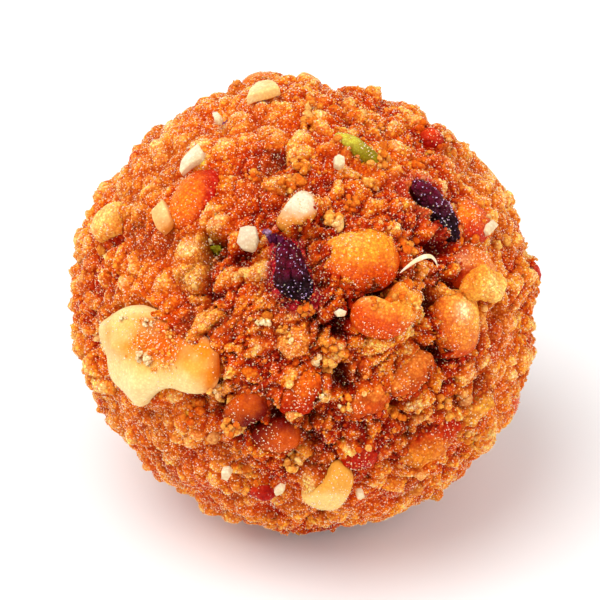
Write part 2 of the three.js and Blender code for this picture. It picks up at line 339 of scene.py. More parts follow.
# How finely a slip is divided round its rim and from pole to pole, and how much its rows crowd towards the
# poles
SLIP_STEPS = 60
SLIP_ROWS = 25
SLIP_CROWDING = 1.7


def closed_outline(corners, steps, rounding):
    """Steps evenly spaced round a closed run of corners, each then shared with its neighbours to round
    the corners."""
    ring = np.concatenate([corners, corners[:1]])
    lengths = np.linalg.norm(np.diff(ring, axis=0), axis=1)
    far = np.concatenate([[0.0], np.cumsum(lengths)])
    along = np.linspace(0.0, far[-1], steps, endpoint=False)
    outline = np.stack([np.interp(along, far, ring[:, axis]) for axis in range(2)], axis=-1)
    for _ in range(rounding):
        outline = 0.5 * outline + 0.25 * (np.roll(outline, 1, axis=0) + np.roll(outline, -1, axis=0))
    return outline


def laid_slip(pixels, level, thick, squareness, rounding, fineness=1):
    """A slip of nut by its outline in picture pixels, laid on the ball with its rim at a level above it:
    the axes to the right, up and outwards at its middle, and its rim as places to the right and up,
    anticlockwise. Rounding is how often its corners are shared with their neighbours, and fineness
    multiplies its steps and rows."""
    radius = BALL_RADIUS + level
    hits = seen(*spot_of(pixels), radius) * radius
    outward = unit(hits.mean(axis=0))
    right = unit(np.cross(UP, outward))
    axes = np.stack([right, np.cross(outward, right), outward])
    rim = closed_outline((hits @ axes.T)[:, :2], SLIP_STEPS * fineness, rounding * fineness**2)
    area = np.sum(rim[:, 0] * np.roll(rim[:, 1], -1) - np.roll(rim[:, 0], -1) * rim[:, 1])
    rim = rim if area > 0 else rim[::-1]
    centre = rim.mean(axis=0)
    return {
        "axes": axes,
        "rim": rim,
        "centre": centre,
        "radius": radius,
        "thick": thick,
        "squareness": squareness,
        "rows": (SLIP_ROWS - 1) * fineness + 1,
        "middle": np.array((*centre, radius)) @ axes,
        "size": np.ptp(rim, axis=0).max(),
    }


def slip_points(slip):
    """A slip's surface: its rim is shrunk towards its centre row by row while the height runs from half
    its thickness above the rim to half below, both along a squared circle (sine and cosine drawn to a
    power), and the whole is bowed with the ball. Rows crowd towards the poles, and there is one point at
    each pole."""
    run = np.linspace(-1.0, 1.0, slip["rows"])
    latitude = math.pi / 2 * (1.0 + np.sign(run) * (1.0 - (1.0 - np.abs(run)) ** SLIP_CROWDING))
    power = 2.0 / slip["squareness"]
    ring = np.maximum(0.0, np.sin(latitude)) ** power
    rise = np.sign(np.cos(latitude)) * np.abs(np.cos(latitude)) ** power
    local = np.empty((len(run), len(slip["rim"]), 3))
    local[..., :2] = slip["centre"] + ring[:, None, None] * (slip["rim"] - slip["centre"])
    bow = np.sqrt(slip["radius"] ** 2 - (local[..., :2] ** 2).sum(axis=-1))
    local[..., 2] = bow + (rise * slip["thick"] / 2)[:, None]
    return np.concatenate([local[0, :1], local[1:-1].reshape(-1, 3), local[-1, :1]]) @ slip["axes"]


def reach_of_slip(slip, points):
    """How far points lie from a slip's centre as shares of its rim in their own direction, seen from
    outside."""
    away = (points @ slip["axes"].T)[:, :2] - slip["centre"]
    spokes = slip["rim"] - slip["centre"]
    turn = np.arctan2(spokes[:, 1], spokes[:, 0])
    order = np.argsort(turn)
    rim = np.interp(
        np.arctan2(away[:, 1], away[:, 0]), turn[order], np.hypot(*spokes.T)[order], period=2 * math.pi
    )
    return np.hypot(*away.T) / rim


# Pieces too flat or broken for a kernel's form, by their outlines in picture pixels: the large cashew
# piece, stepped at its left and notched below, the half moon of cashew near the bottom, the yellow slab at
# the left, the pale bar of cashew and the torn raisin in the middle, and the crowned lump right of it
SLIPS = {
    "cashew_1": laid_slip([
        (102, 322), (102, 334), (107, 345), (111, 352), (110, 361), (113, 375), (120, 384), (130, 390),
        (138, 399), (144, 408), (150, 399), (158, 391), (169, 387), (180, 387), (190, 391), (202, 393),
        (213, 391), (218, 379), (218, 365), (215, 350), (204, 337), (180, 324), (160, 313), (141, 305),
        (126, 306), (112, 315),
    ], level=0.4, thick=3.6, squareness=3.4, rounding=1, fineness=2),
    "cashew_3": laid_slip([
        (300, 494), (309, 487), (320, 481), (329, 473), (333, 466), (339, 464), (347, 468), (354, 476),
        (350, 487), (345, 496), (337, 504), (326, 505), (315, 503), (305, 499),
    ], level=0.2, thick=3.0, squareness=3.4, rounding=2),
    "peanut_14": laid_slip([
        (96, 235), (99, 227), (107, 216), (116, 206), (124, 203), (121, 213), (118, 222), (117, 232),
        (108, 238), (102, 243),
    ], level=0.3, thick=2.6, squareness=5.0, rounding=0),
    "cashew_2": laid_slip([
        (275, 223), (281, 213), (288, 203), (295, 195), (303, 191), (311, 194), (318, 202), (318, 211),
        (311, 221), (303, 229), (292, 232), (281, 230),
    ], level=0.4, thick=3.4, squareness=2.6, rounding=2),
    "raisin_1": laid_slip([
        (276, 244), (283, 240), (291, 239), (299, 245), (303, 258), (309, 273), (316, 288), (314, 298),
        (304, 303), (290, 300), (279, 292), (271, 279), (276, 267), (275, 254),
    ], level=0.3, thick=3.4, squareness=2.2, rounding=2),
    "peanut_2": laid_slip([
        (350, 318), (352, 306), (361, 297), (373, 295), (384, 300), (392, 296), (395, 285), (402, 280),
        (408, 288), (418, 290), (422, 299), (417, 309), (412, 322), (401, 334), (386, 340), (368, 337),
        (356, 330),
    ], level=0.7, thick=4.8, squareness=2.3, rounding=1),
}


def piece_of(name):
    """A kernel as its solid gives it, or the slip that stands for it."""
    if name not in SLIPS:
        return settle(name)
    return {**SLIPS[name], "name": name, "kind": name.rsplit("_", 1)[0]}


nuts = [piece_of(name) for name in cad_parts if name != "crumb_ball"]


# A reach beyond every kernel, and how far past its size a kernel's reach is measured: a share of it and a
# margin
NO_KERNEL = 3.0
NEAR_SHARE = 1.2
NEAR_MARGIN = 2.0


def nearest_nut(points):
    """The smallest reach of any kernel near each point, and which kernel it is."""
    least = np.full(len(points), NO_KERNEL)
    which = np.full(len(points), -1)
    for index, nut in enumerate(nuts):
        near = np.linalg.norm(points - nut["middle"], axis=1) < nut["size"] * NEAR_SHARE + NEAR_MARGIN
        reach = np.full(len(points), NO_KERNEL)
        measure = reach_of_slip if "rim" in nut else reach_of_kernel
        reach[near] = measure(nut, points[near])
        which = np.where(reach < least, index, which)
        least = np.minimum(least, reach)
    return least, which


# Deep gaps between lumps on the best side: place across and up, radius and depth
PITS = np.array([
    (10.0, 2.2, 2.4, 3.0),
    (19.6, 2.8, 1.6, 2.6),
    (16.6, -6.8, 2.6, 3.6),
    (-3.4, -14.4, 1.6, 2.4),
    (4.8, -9.6, 2.3, 3.0),
    (4.6, -2.4, 3.0, 2.8),
    (-12.0, 7.6, 2.2, 2.2),
    (-8.6, 6.0, 1.6, 1.8),
    (-12.4, 1.6, 1.7, 1.6),
    (11.8, -12.9, 1.4, 1.8),
    (-10.6, -13.8, 1.6, 2.2),
    (-6.4, -15.6, 1.5, 2.0),
    (17.4, 11.0, 1.4, 1.4),
    (17.8, 7.8, 2.0, 2.8),
    (16.6, 0.6, 1.6, 2.4),
    (20.9, 7.4, 1.2, 2.0),
    (24.4, -0.6, 1.3, 2.0),
    (0.6, -14.6, 1.5, 2.2),
    (2.2, 7.0, 1.8, 1.2),
    (13.6, -17.6, 1.4, 1.8),
    (1.4, -17.6, 1.6, 1.8),
])
PIT_DIRECTIONS = seen(PITS[:, 0], PITS[:, 1])

# Lumps are drawn out along a streak that rises to the right on the best side, within these cosines of
# facing it
STREAK = flat_to_side(math.radians(38))
STREAK_PULL = 0.36
STREAK_FACING = (0.3, 0.8)

# Noises of the crumb's shape, each by its spacing in millimetres and its seed
BROAD_LUMPS = (LUMP_SPACING, 1)
WARP = (2.2, 20)
FINE_WARP = (0.9, 25)
CUSHIONS = (2.35, 30)
CRAG_PATCHES = (9.0, 40)
PIT_EDGE = (1.1, 41)
COLLAR_EDGE = (1.7, 42)
KERNEL_EDGE = (1.5, 43)
FINE_KERNEL_EDGE = (0.7, 44)
CREEP_PATCHES = (2.6, 45)
FINE_CREEP_PATCHES = (1.0, 46)
KNOB_WARP = (0.8, 50)
KNOBS = (1.1, 60)

# Heights and reaches of the crumb's shape, in millimetres
WARP_REACH = 0.6
KNOB_WARP_REACH = 0.35
CUSHION_HEIGHT = 1.4
KNOB_HEIGHT = 0.34
COLLAR_HEIGHT = 0.9
COLLAR_UNEVEN = 0.8
KERNEL_DENT = 1.4
CREPT_CUSHION = 0.5
SUNK = 0.05
# How wide the border of a cushion and of a knob is, in spacings
CUSHION_BORDER = 0.75
KNOB_BORDER = 0.8

# The craggy middle of the best side: its place across and up, and the cosines of the angles where it starts
# and is full
CRAGGY_MIDDLE = seen(np.array([5.0]), np.array([-5.0]))[0]
CRAGGY_COSINES = (0.62, 0.86)
PATCH_CRAG = 0.75


def cragginess(directions):
    """How broken the crumb is, from 0 where it is pressed smooth to 1: most about the middle of the best
    side, and in patches elsewhere."""
    middle = ease(*CRAGGY_COSINES, directions @ CRAGGY_MIDDLE)
    patches = ease(-0.1, 0.5, drift(directions * BALL_RADIUS, *CRAG_PATCHES))
    return np.maximum(middle, PATCH_CRAG * patches)


def kernel_tops(directions, reach, which):
    """How far out the kernel that lies under each direction comes: a dome over its outline, squared for
    a slip, and nothing outside it."""
    tops = np.zeros(len(directions))
    for index, nut in enumerate(nuts):
        over = (which == index) & (reach < 1.0)
        square = nut.get("squareness", 2.0)
        dome = (1.0 - reach[over] ** square) ** (1.0 / square)
        if "rim" in nut:
            tops[over] = nut["radius"] + nut["thick"] / 2 * dome
        else:
            height = nut["middle"] @ nut["axes"][2] + nut["high"][2] * dome
            tops[over] = height / (directions[over] @ nut["axes"][2])
    return tops


# How much more (above 0) or less of each kernel the crumb creeps over
BURIED = {
    "cashew_1": -0.9,
    "cashew_2": 0.1,
    "cashew_3": -0.9,
    "peanut_1": 0.05,
    "peanut_2": -0.15,
    "peanut_3": -0.05,
    "peanut_4": 0.1,
    "peanut_5": 0.1,
    "peanut_6": -0.2,
    "peanut_13": 0.3,
    "peanut_14": -0.4,
    "raisin_1": 0.0,
    "raisin_2": 0.15,
    "pistachio_1": -0.8,
    "cranberry_1": -0.6,
    "cranberry_2": -0.4,
    "cranberry_3": -0.4,
}
BURIED_OTHER = 0.0
# Places in picture pixels where crumb also laps over a kernel's edge, with a radius in pixels and a strength
LAPPED = [
    (192, 328, 22, 1.5),
    (162, 310, 17, 1.3),
    (300, 499, 9, 1.2),
    (304, 232, 12, 0.7),
    (102, 345, 8, 0.7),
]
burial = np.array([BURIED.get(nut["name"], BURIED_OTHER) for nut in nuts] + [BURIED_OTHER])


def pit_depth(directions, points, cushion):
    """How deep the pits are: each falls off from its middle as a smooth S, shallower under cushions and
    with an edge made ragged by noise."""
    uneven = 0.6 * cushion + 0.3 * drift(points, *PIT_EDGE) - 0.35
    pit = np.zeros(len(points))
    for direction, (_, _, radius, depth) in zip(PIT_DIRECTIONS, PITS):
        away = np.linalg.norm(directions - direction, axis=1) * BALL_RADIUS / radius
        pit = np.maximum(pit, depth * (1.0 - ease(0.1, 1.3, away + uneven)))
    return pit


def crumb_creep(directions, points, reach, which):
    """How far crumb covers the kernel at each place, from 0 to 1: in patches of noise, more towards the
    kernel's edge, by how buried it is, and as a bell about each lapped place of the best side."""
    patches = 0.6 * drift(points, *CREEP_PATCHES) + 0.4 * drift(points, *FINE_CREEP_PATCHES)
    right, down = pixels_of(directions * BALL_RADIUS)
    lapped = np.zeros(len(points))
    for x, y, wide, strength in LAPPED:
        lapped = np.maximum(lapped, strength * np.exp(-((right - x) ** 2 + (down - y) ** 2) / wide**2))
    lapped = np.where(directions @ OUT > 0, lapped, 0.0)
    return ease(0.0, 0.2, patches + 2.0 * (reach - 0.95) + burial[which] + lapped)


def crumb_surface(directions):
    """The crumb's surface along outward directions: an oblong ball with lumps that match the solid's,
    cushions drawn out along the streak, knobs on them, pits, a dent under each kernel, a ragged collar
    round it and patches that creep over its edge. Gives the radius, how far each place stands (0 in a
    gap to 1 on a lump), the names of its lump and its knob, the reach of the nearest kernel, which it is
    and whether it shows bare, and how craggy the place is."""
    points = directions * CORE_RADIUS
    oblong = OBLONG * (2.0 * (directions @ flat_to_side(OBLONG_TURN)) ** 2 - 1.0)
    near, _, _ = lumps(points, *BROAD_LUMPS)
    broad = LUMP_HEIGHT * (LUMP_MIDDLE - np.minimum(1.0, near**2))
    reach, which = nearest_nut(directions * BALL_RADIUS)
    crag = cragginess(directions)
    ragged = (0.1 + 0.25 * crag)[:, None]
    warped = points + WARP_REACH * drift_vectors(points, *WARP) + ragged * drift_vectors(points, *FINE_WARP)
    pull = STREAK_PULL * ease(*STREAK_FACING, directions @ OUT) * (warped @ STREAK)
    near, second, name = lumps(warped - np.outer(pull, STREAK), *CUSHIONS)
    cushion = pillow(near, second, CUSHION_BORDER, 0.75 + 0.25 * crag)
    clump = CUSHION_HEIGHT * (0.75 + 0.35 * crag) * (cushion * (0.4 + 0.9 * name) - 0.55)
    knob_points = points + KNOB_WARP_REACH * drift_vectors(points, *KNOB_WARP)
    near, second, knob_name = lumps(knob_points, *KNOBS)
    knob = pillow(near, second, KNOB_BORDER, 0.3 + 0.7 * crag)
    rise = KNOB_HEIGHT * (0.25 + 1.05 * crag) * (knob * (0.5 + 0.7 * knob_name) - 0.5)
    pit = pit_depth(directions, points, cushion)
    edge = reach + 0.13 * drift(points, *KERNEL_EDGE) + 0.07 * drift(points, *FINE_KERNEL_EDGE)
    collar = COLLAR_HEIGHT + COLLAR_UNEVEN * drift(points, *COLLAR_EDGE)
    collar = collar * np.exp(-(((edge - 1.06) / 0.2) ** 2))
    dent = KERNEL_DENT * (1.0 - ease(0.66, 0.94, edge))
    radius = CORE_RADIUS - SUNK + oblong + broad + clump + rise + collar - pit - dent
    creep = crumb_creep(directions, points, reach, which)
    crept = kernel_tops(directions, reach, which) + CREPT_CUSHION * cushion + rise
    radius = radius + creep * np.maximum(0.0, crept - radius)
    stand = (0.75 - 0.15 * crag) * cushion * (0.55 + 0.55 * name) + 0.1 + 0.06 * broad
    stand = stand + (0.14 + 0.16 * crag) * knob * (0.6 + 0.6 * knob_name)
    # Painted shade: standing lower in the pits colours them deeper
    stand = np.clip(stand * (1.0 - 0.36 * np.minimum(pit, 2.5)), 0.0, 1.0)
    return {
        "directions": directions,
        "radius": radius,
        "stand": stand,
        "name": name,
        "knob_name": knob_name,
        "reach": reach,
        "which": which,
        "bare": (reach < 1.0) & (creep < 0.5),
        "crag": crag,
    }


def chosen(spots, kept):
    """The spots of a run of places for which kept is true."""
    return {key: values[kept] for key, values in spots.items()}


def raised(spots, lift):
    """Where the spots lie, lifted outwards by a distance."""
    return spots["directions"] * (spots["radius"] + lift)[:, None]


def over_kernels(spots):
    """The spots with their radius raised to any kernel that shows there."""
    tops = kernel_tops(spots["directions"], spots["reach"], spots["which"])
    return {**spots, "radius": np.maximum(spots["radius"], tops)}


# Colours of the crumb, from a deep gap to the top of a lump, where it is craggy and where it is pressed
# smooth: partly the crumb's own syrup colour and partly painted shade, deep red in gaps and pits, with
# painted light, pale on the tops
CRUMB_STOPS = np.array([0.0, 0.15, 0.32, 0.5, 0.68, 0.85, 1.0])
CRAGGY_PAINTS = np.stack([
    paint(80, 1, 0),
    paint(136, 12, 0),
    paint(180, 34, 1),
    paint(210, 70, 3),
    paint(227, 110, 14),
    paint(238, 152, 46),
    paint(250, 206, 122),
])
SMOOTH_PAINTS = np.stack([
    paint(140, 16, 0),
    paint(174, 30, 0),
    paint(199, 58, 0),
    paint(217, 90, 5),
    paint(233, 124, 28),
    paint(245, 162, 64),
    paint(254, 210, 136),
])
TAN_CRUMB = paint(210, 112, 36)
GOLD_CRUMB = paint(250, 160, 46)
RED_SYRUP = paint(208, 36, 6)
OLIVE_DUST = paint(132, 108, 22)
STRAW_DUST = paint(206, 158, 70)
RAISIN_STAIN = paint(190, 14, 54)
# Stains on the best side: place across and up, radius, colour and strength
STAINS = [
    (-27.2, 1.9, 3.2, RED_SYRUP, 0.7),
    (16.2, 19.6, 3.4, RED_SYRUP, 0.7),
    (5.0, 19.8, 2.2, RED_SYRUP, 0.6),
    (-6.6, 24.6, 2.6, RED_SYRUP, 0.4),
    (-21.8, 18.6, 2.0, RED_SYRUP, 0.8),
    (-4.0, 12.6, 2.6, RED_SYRUP, 0.3),
    (-1.6, -4.2, 2.4, RED_SYRUP, 0.6),
    (9.0, -19.6, 3.0, RED_SYRUP, 0.7),
    (16.4, -15.2, 2.6, RED_SYRUP, 0.7),
    (24.6, -3.6, 2.8, RED_SYRUP, 0.6),
    (-14.6, -20.2, 2.4, RED_SYRUP, 0.5),
    (-12.2, 8.0, 1.8, OLIVE_DUST, 0.7),
    (-15.0, 3.4, 2.2, STRAW_DUST, 0.6),
    (-13.0, 5.4, 1.6, STRAW_DUST, 0.6),
]
# Noises of the crumb's colour, each by its spacing in millimetres and its seed
RED_PATCHES = (4.0, 70)
TAN_PATCHES = (4.5, 71)
STAIN_EDGE = (1.4, 72)
RAISIN_STAIN_EDGE = (1.2, 73)
# How much faster each of red, green and blue darkens in the painted shade of a stained gap
STAIN_SHADE_FADE = np.array((1.0, 1.5, 2.0))
# Raisins by their place among the nuts, and how deeply the torn one and the others stain the crumb round them
RAISINS = [index for index, nut in enumerate(nuts) if nut["kind"] == "raisin"]
TORN_RAISIN = [index for index, nut in enumerate(nuts) if nut["name"] == "raisin_1"]
TORN_SOAK = 0.95
RAISIN_SOAK = 0.5


def ramp(level, paints):
    """The colours of a row of paints at levels between the crumb's stops."""
    return np.stack([np.interp(level, CRUMB_STOPS, paints[:, band]) for band in range(3)], axis=-1)


def crumb_level(spots, lift):
    """Where on the ramp of colours each spot lies: by how far it stands, so that gaps and pits take painted
    shade, with each lump and knob lighter or darker by its name, darker towards the bottom of the best side
    as painted shade, and deeper and more varied where it is craggy."""
    crag = spots["crag"]
    by_lump = 0.24 * (spots["name"] - 0.5)
    by_knob = (0.06 + 0.16 * crag) * (spots["knob_name"] - 0.5)
    # Painted shade: darker towards the bottom of the best side
    foot_shade = 0.14 * ease(0.55, 0.95, -(spots["directions"] @ UP))
    level = spots["stand"] + lift + by_lump + by_knob - foot_shade
    return np.clip(0.65 - 0.24 * crag + (0.78 + 0.5 * crag) * (level - 0.5), 0.0, 1.0)


def crumb_tint(spots, lift=0.0):
    """The crumb's colour: a ramp by its level, from the smooth crumb's colours to the craggy one's, partly
    the crumb's own colour and partly painted shade, deep red in gaps and pits, and painted light, pale on
    tops; with some patches tan, some red, some lumps golden, stains of syrup and dust on the best side and
    a stain round the raisins, all but the golden lumps deepened by painted shade where the level is low."""
    directions = spots["directions"]
    points = directions * BALL_RADIUS
    level = crumb_level(spots, lift)
    # Painted shade: tan and red patches and stains deepen and redden where the level is low
    shade = (0.3 + 0.8 * level)[:, None] ** STAIN_SHADE_FADE
    tint = turned(ramp(level, SMOOTH_PAINTS), spots["crag"], ramp(level, CRAGGY_PAINTS))
    tan = 0.45 * ease(-0.1, 0.5, drift(points, *TAN_PATCHES))
    tint = turned(tint, tan, TAN_CRUMB * shade)
    red = (0.1 + 0.25 * spots["crag"]) * ease(0.2, 0.7, drift(points, *RED_PATCHES))
    tint = turned(tint, red, RED_SYRUP * shade)
    ragged = 0.3 * drift(points, *STAIN_EDGE)
    for across, up, radius, colour, strength in STAINS:
        direction = seen(np.array([across]), np.array([up]))[0]
        away = np.linalg.norm(directions - direction, axis=1) * BALL_RADIUS / radius
        tint = turned(tint, strength * (1.0 - ease(0.3, 1.3, away + ragged)), colour * shade)
    gold = 0.4 * ease(0.72, 0.9, spots["name"]) * ease(0.3, 0.7, spots["stand"] + lift)
    tint = turned(tint, gold, GOLD_CRUMB)
    by_torn, by_any = (np.isin(spots["which"], kind) for kind in (TORN_RAISIN, RAISINS))
    soaked = np.where(by_torn, TORN_SOAK, RAISIN_SOAK * by_any)
    mark = soaked * (1.0 - ease(1.2, 1.7, spots["reach"] + 0.2 * drift(points, *RAISIN_STAIN_EDGE)))
    return turned(tint, mark, RAISIN_STAIN * shade)


def make_piece(name, points, faces, tints, material, smooth=True):
    """A mesh from whole arrays: points in millimetres about the ball's middle, faces of one size, and a
    colour for each point kept as the attribute tint."""
    mesh = bpy.data.meshes.new(name)
    count, corners = faces.shape
    mesh.vertices.add(len(points))
    mesh.vertices.foreach_set("co", ((points + BALL_MIDDLE) * METRE).astype(np.float32).ravel())
    mesh.loops.add(count * corners)
    mesh.loops.foreach_set("vertex_index", faces.astype(np.int32).ravel())
    mesh.polygons.add(count)
    mesh.polygons.foreach_set("loop_start", (np.arange(count) * corners).astype(np.int32))
    mesh.polygons.foreach_set("loop_total", np.full(count, corners, dtype=np.int32))
    mesh.update(calc_edges=True)
    mesh.polygons.foreach_set("use_smooth", np.full(count, smooth))
    tint = mesh.attributes.new("tint", "FLOAT_COLOR", "POINT")
    tint.data.foreach_set("color", np.column_stack([tints, np.ones(len(tints))]).astype(np.float32).ravel())
    mesh.materials.append(material)
    mesh.validate()
    piece = bpy.data.objects.new(name, mesh)
    bpy.context.scene.collection.objects.link(piece)
    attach(piece, "root")
    return piece


def map_range(tree, source, low, high, to_low, to_high):
    """A node that carries source from one range to another, held at the ends."""
    node = tree.nodes.new("ShaderNodeMapRange")
    for socket, value in (("From Min", low), ("From Max", high), ("To Min", to_low), ("To Max", to_high)):
        node.inputs[socket].default_value = value
    tree.links.new(source, node.inputs["Value"])
    return node.outputs["Result"]


def maths(tree, operation, first, second):
    """A node that works on two sockets."""
    node = tree.nodes.new("ShaderNodeMath")
    node.operation = operation
    tree.links.new(first, node.inputs[0])
    tree.links.new(second, node.inputs[1])
    return node.outputs["Value"]


def vector_maths(tree, operation, first, second):
    """A node that works on two vectors, the second a socket or a constant."""
    node = tree.nodes.new("ShaderNodeVectorMath")
    node.operation = operation
    tree.links.new(first, node.inputs[0])
    if isinstance(second, tuple):
        node.inputs[1].default_value = second
    else:
        tree.links.new(second, node.inputs[1])
    return node.outputs["Value" if operation == "DOT_PRODUCT" else "Vector"]


def blend(tree, mode, factor, first, second):
    """A node that mixes two colours; the factor and the second are sockets or constants."""
    node = tree.nodes.new("ShaderNodeMix")
    node.data_type = "RGBA"
    node.blend_type = mode
    for socket, value in (("Factor", factor), ("A", first), ("B", second)):
        if isinstance(value, (float, tuple)):
            node.inputs[socket].default_value = value
        else:
            tree.links.new(value, node.inputs[socket])
    return node.outputs["Result"]


def bump_of(tree, height, reach):
    """A bump node: millimetres of relief for a height of 1."""
    node = tree.nodes.new("ShaderNodeBump")
    node.inputs["Strength"].default_value = 1.0
    node.inputs["Distance"].default_value = reach * METRE
    tree.links.new(height, node.inputs["Height"])
    return node.outputs["Normal"]


# How far red, green and blue light spread inside, as shares of the glow's depth
GLOW_SPREAD = (1.0, 0.4, 0.15)
EVEN_SPREAD = (1.0, 0.8, 0.5)
# The clouds in every finish: how many in a metre, and how fine and rough they are
CLOUD_SCALE = 1300.0
CLOUD_DETAIL = 5.0
CLOUD_ROUGHNESS = 0.7
CLOUD_RANGE = (0.3, 0.7)
# The sugar in every finish: the colour of its white specks, partly sugar and partly painted glints, and
# the slope and roughness of its clear facets
GLINT_SPECK_WHITE = (*paint(255, 236, 206), 1.0)
FACET_SLOPE = 1.3
FACET_ROUGHNESS = 0.12


def grainy_material(
    name, grain, bump, redder, vary, pale, glint_speck, rough, gloss, facets, glow, depth, spread=GLOW_SPREAD
):
    """A sticky surface coloured by the attribute tint, with cells of sugar grain (size and bump in
    millimetres). Each cell is a small dome under a tilted facet of clear syrup. Cells and clouds make the
    colour lighter and a little more like the pale one by vary, or deeper and redder by redder: partly grain
    tone at random, partly painted shade towards each cell's edge and painted light at its middle. The
    middles of a few cells are white specks, partly sugar and partly painted glints. Light spreads inside to
    a depth in millimetres."""
    material = bpy.data.materials.new(name)
    material.use_nodes = True
    tree = material.node_tree
    shader = tree.nodes["Principled BSDF"]
    place = tree.nodes.new("ShaderNodeTexCoord").outputs["Object"]
    tint = tree.nodes.new("ShaderNodeAttribute")
    tint.attribute_name = "tint"
    cells = tree.nodes.new("ShaderNodeTexVoronoi")
    cells.inputs["Scale"].default_value = 1.0 / (grain * METRE)
    tree.links.new(place, cells.inputs["Vector"])
    cloud = tree.nodes.new("ShaderNodeTexNoise")
    cloud.inputs["Scale"].default_value = CLOUD_SCALE
    cloud.inputs["Detail"].default_value = CLOUD_DETAIL
    cloud.inputs["Roughness"].default_value = CLOUD_ROUGHNESS
    tree.links.new(place, cloud.inputs["Vector"])
    apart = tree.nodes.new("ShaderNodeSeparateColor")
    tree.links.new(cells.outputs["Color"], apart.inputs["Color"])
    of_cell = map_range(tree, apart.outputs["Red"], 0.0, 1.0, -0.5, 0.5)
    # Painted shade towards each cell's edge and painted light at its middle
    shade_at_edge = map_range(tree, cells.outputs["Distance"], 0.15, 0.7, 0.35, -0.45)
    of_cloud = map_range(tree, cloud.outputs["Fac"], *CLOUD_RANGE, -0.4, 0.4)
    total = maths(tree, "ADD", maths(tree, "ADD", of_cell, shade_at_edge), of_cloud)
    deep = (1.0 - 0.5 * redder, 1.0 - 1.3 * redder, 1.0 - 1.6 * redder, 1.0)
    below = map_range(tree, total, 0.0, -0.8, 0.0, 1.0)
    deeper = blend(tree, "MULTIPLY", below, tint.outputs["Color"], deep)
    light = (1.0 + 0.6 * vary, 1.0 + 1.5 * vary, 1.0 + 2.0 * vary, 1.0)
    above = map_range(tree, total, 0.0, 0.9, 0.0, 1.0)
    lighter = blend(tree, "MULTIPLY", above, deeper, light)
    little = map_range(tree, total, 0.2, 0.9, 0.0, 0.25 * vary)
    paler = blend(tree, "MIX", little, lighter, (*paint(*pale), 1.0))
    # White specks at the middles of a few cells: sugar, and painted glints
    few = map_range(tree, apart.outputs["Green"], 1.0 - glint_speck, 1.0 - 0.6 * glint_speck, 0.0, 0.8)
    middles = map_range(tree, cells.outputs["Distance"], 0.15, 0.4, 1.0, 0.0)
    glint_specked = blend(tree, "MIX", maths(tree, "MULTIPLY", few, middles), paler, GLINT_SPECK_WHITE)
    tree.links.new(glint_specked, shader.inputs["Base Color"])
    uneven = map_range(tree, cloud.outputs["Fac"], *CLOUD_RANGE, rough - 0.1, rough + 0.1)
    tree.links.new(uneven, shader.inputs["Roughness"])
    domes = map_range(tree, cells.outputs["Distance"], 0.0, 0.85, 1.0, 0.0)
    tree.links.new(bump_of(tree, maths(tree, "ADD", domes, of_cloud), bump), shader.inputs["Normal"])
    scaled = vector_maths(tree, "MULTIPLY", place, (1.0 / (grain * METRE),) * 3)
    from_middle = vector_maths(tree, "SUBTRACT", scaled, cells.outputs["Position"])
    tilt = vector_maths(tree, "SUBTRACT", cells.outputs["Color"], (0.5, 0.5, 0.5))
    slope = vector_maths(tree, "DOT_PRODUCT", from_middle, tilt)
    tree.links.new(bump_of(tree, slope, grain * FACET_SLOPE), shader.inputs["Coat Normal"])
    shader.inputs["Specular IOR Level"].default_value = gloss
    shader.inputs["Coat Weight"].default_value = facets
    shader.inputs["Coat Roughness"].default_value = FACET_ROUGHNESS
    shader.inputs["Subsurface Weight"].default_value = glow
    shader.inputs["Subsurface Radius"].default_value = spread
    shader.inputs["Subsurface Scale"].default_value = depth * METRE
    return material


# The pale colour that each finish turns a little towards, as a screen shows it
PALE_AMBER = (255, 186, 92)
PALE_GOLD = (255, 204, 110)
PALE_CREAM = (255, 240, 205)
# The raisin's pale lilac is a painted sheen on its lighter cells
PALE_LILAC_SHEEN = (206, 130, 190)
PALE_LEAF = (236, 226, 120)
crumb_finish = grainy_material(
    "sticky_crumb", grain=0.34, bump=0.07, redder=0.46, vary=0.74, pale=PALE_AMBER, glint_speck=0.2,
    rough=0.4, gloss=0.02, facets=0.04, glow=0.9, depth=1.2,
)
granule_finish = grainy_material(
    "crumb_granule", grain=0.25, bump=0.03, redder=0.36, vary=0.5, pale=PALE_AMBER, glint_speck=0.05,
    rough=0.3, gloss=0.03, facets=0.05, glow=0.15, depth=0.15,
)
clump_finish = grainy_material(
    "golden_crumb", grain=0.34, bump=0.12, redder=0.32, vary=0.5, pale=PALE_GOLD, glint_speck=0.14,
    rough=0.4, gloss=0.03, facets=0.05, glow=0.15, depth=0.2,
)
grain_finish = grainy_material(
    "sugar_grain_glint", grain=0.3, bump=0.02, redder=0.04, vary=0.08, pale=PALE_CREAM, glint_speck=0.02,
    rough=0.25, gloss=0.3, facets=0.2, glow=0.2, depth=0.1,
)
peanut_finish = grainy_material(
    "glazed_kernel", grain=0.3, bump=0.1, redder=0.34, vary=0.5, pale=PALE_GOLD, glint_speck=0.14,
    rough=0.34, gloss=0.05, facets=0.15, glow=0.5, depth=0.7,
)
skin_on_finish = grainy_material(
    "red_skinned_kernel", grain=0.3, bump=0.05, redder=0.25, vary=0.15, pale=PALE_AMBER, glint_speck=0.06,
    rough=0.3, gloss=0.05, facets=0.06, glow=0.2, depth=0.5,
)
cashew_finish = grainy_material(
    "cashew_kernel", grain=0.3, bump=0.03, redder=0.1, vary=0.12, pale=PALE_CREAM, glint_speck=0.04,
    rough=0.4, gloss=0.1, facets=0.05, glow=0.3, depth=0.5, spread=EVEN_SPREAD,
)
raisin_finish = grainy_material(
    "raisin_skin", grain=0.35, bump=0.2, redder=0.4, vary=0.3, pale=PALE_LILAC_SHEEN, glint_speck=0.16,
    rough=0.4, gloss=0.04, facets=0.1, glow=0.3, depth=0.4,
)
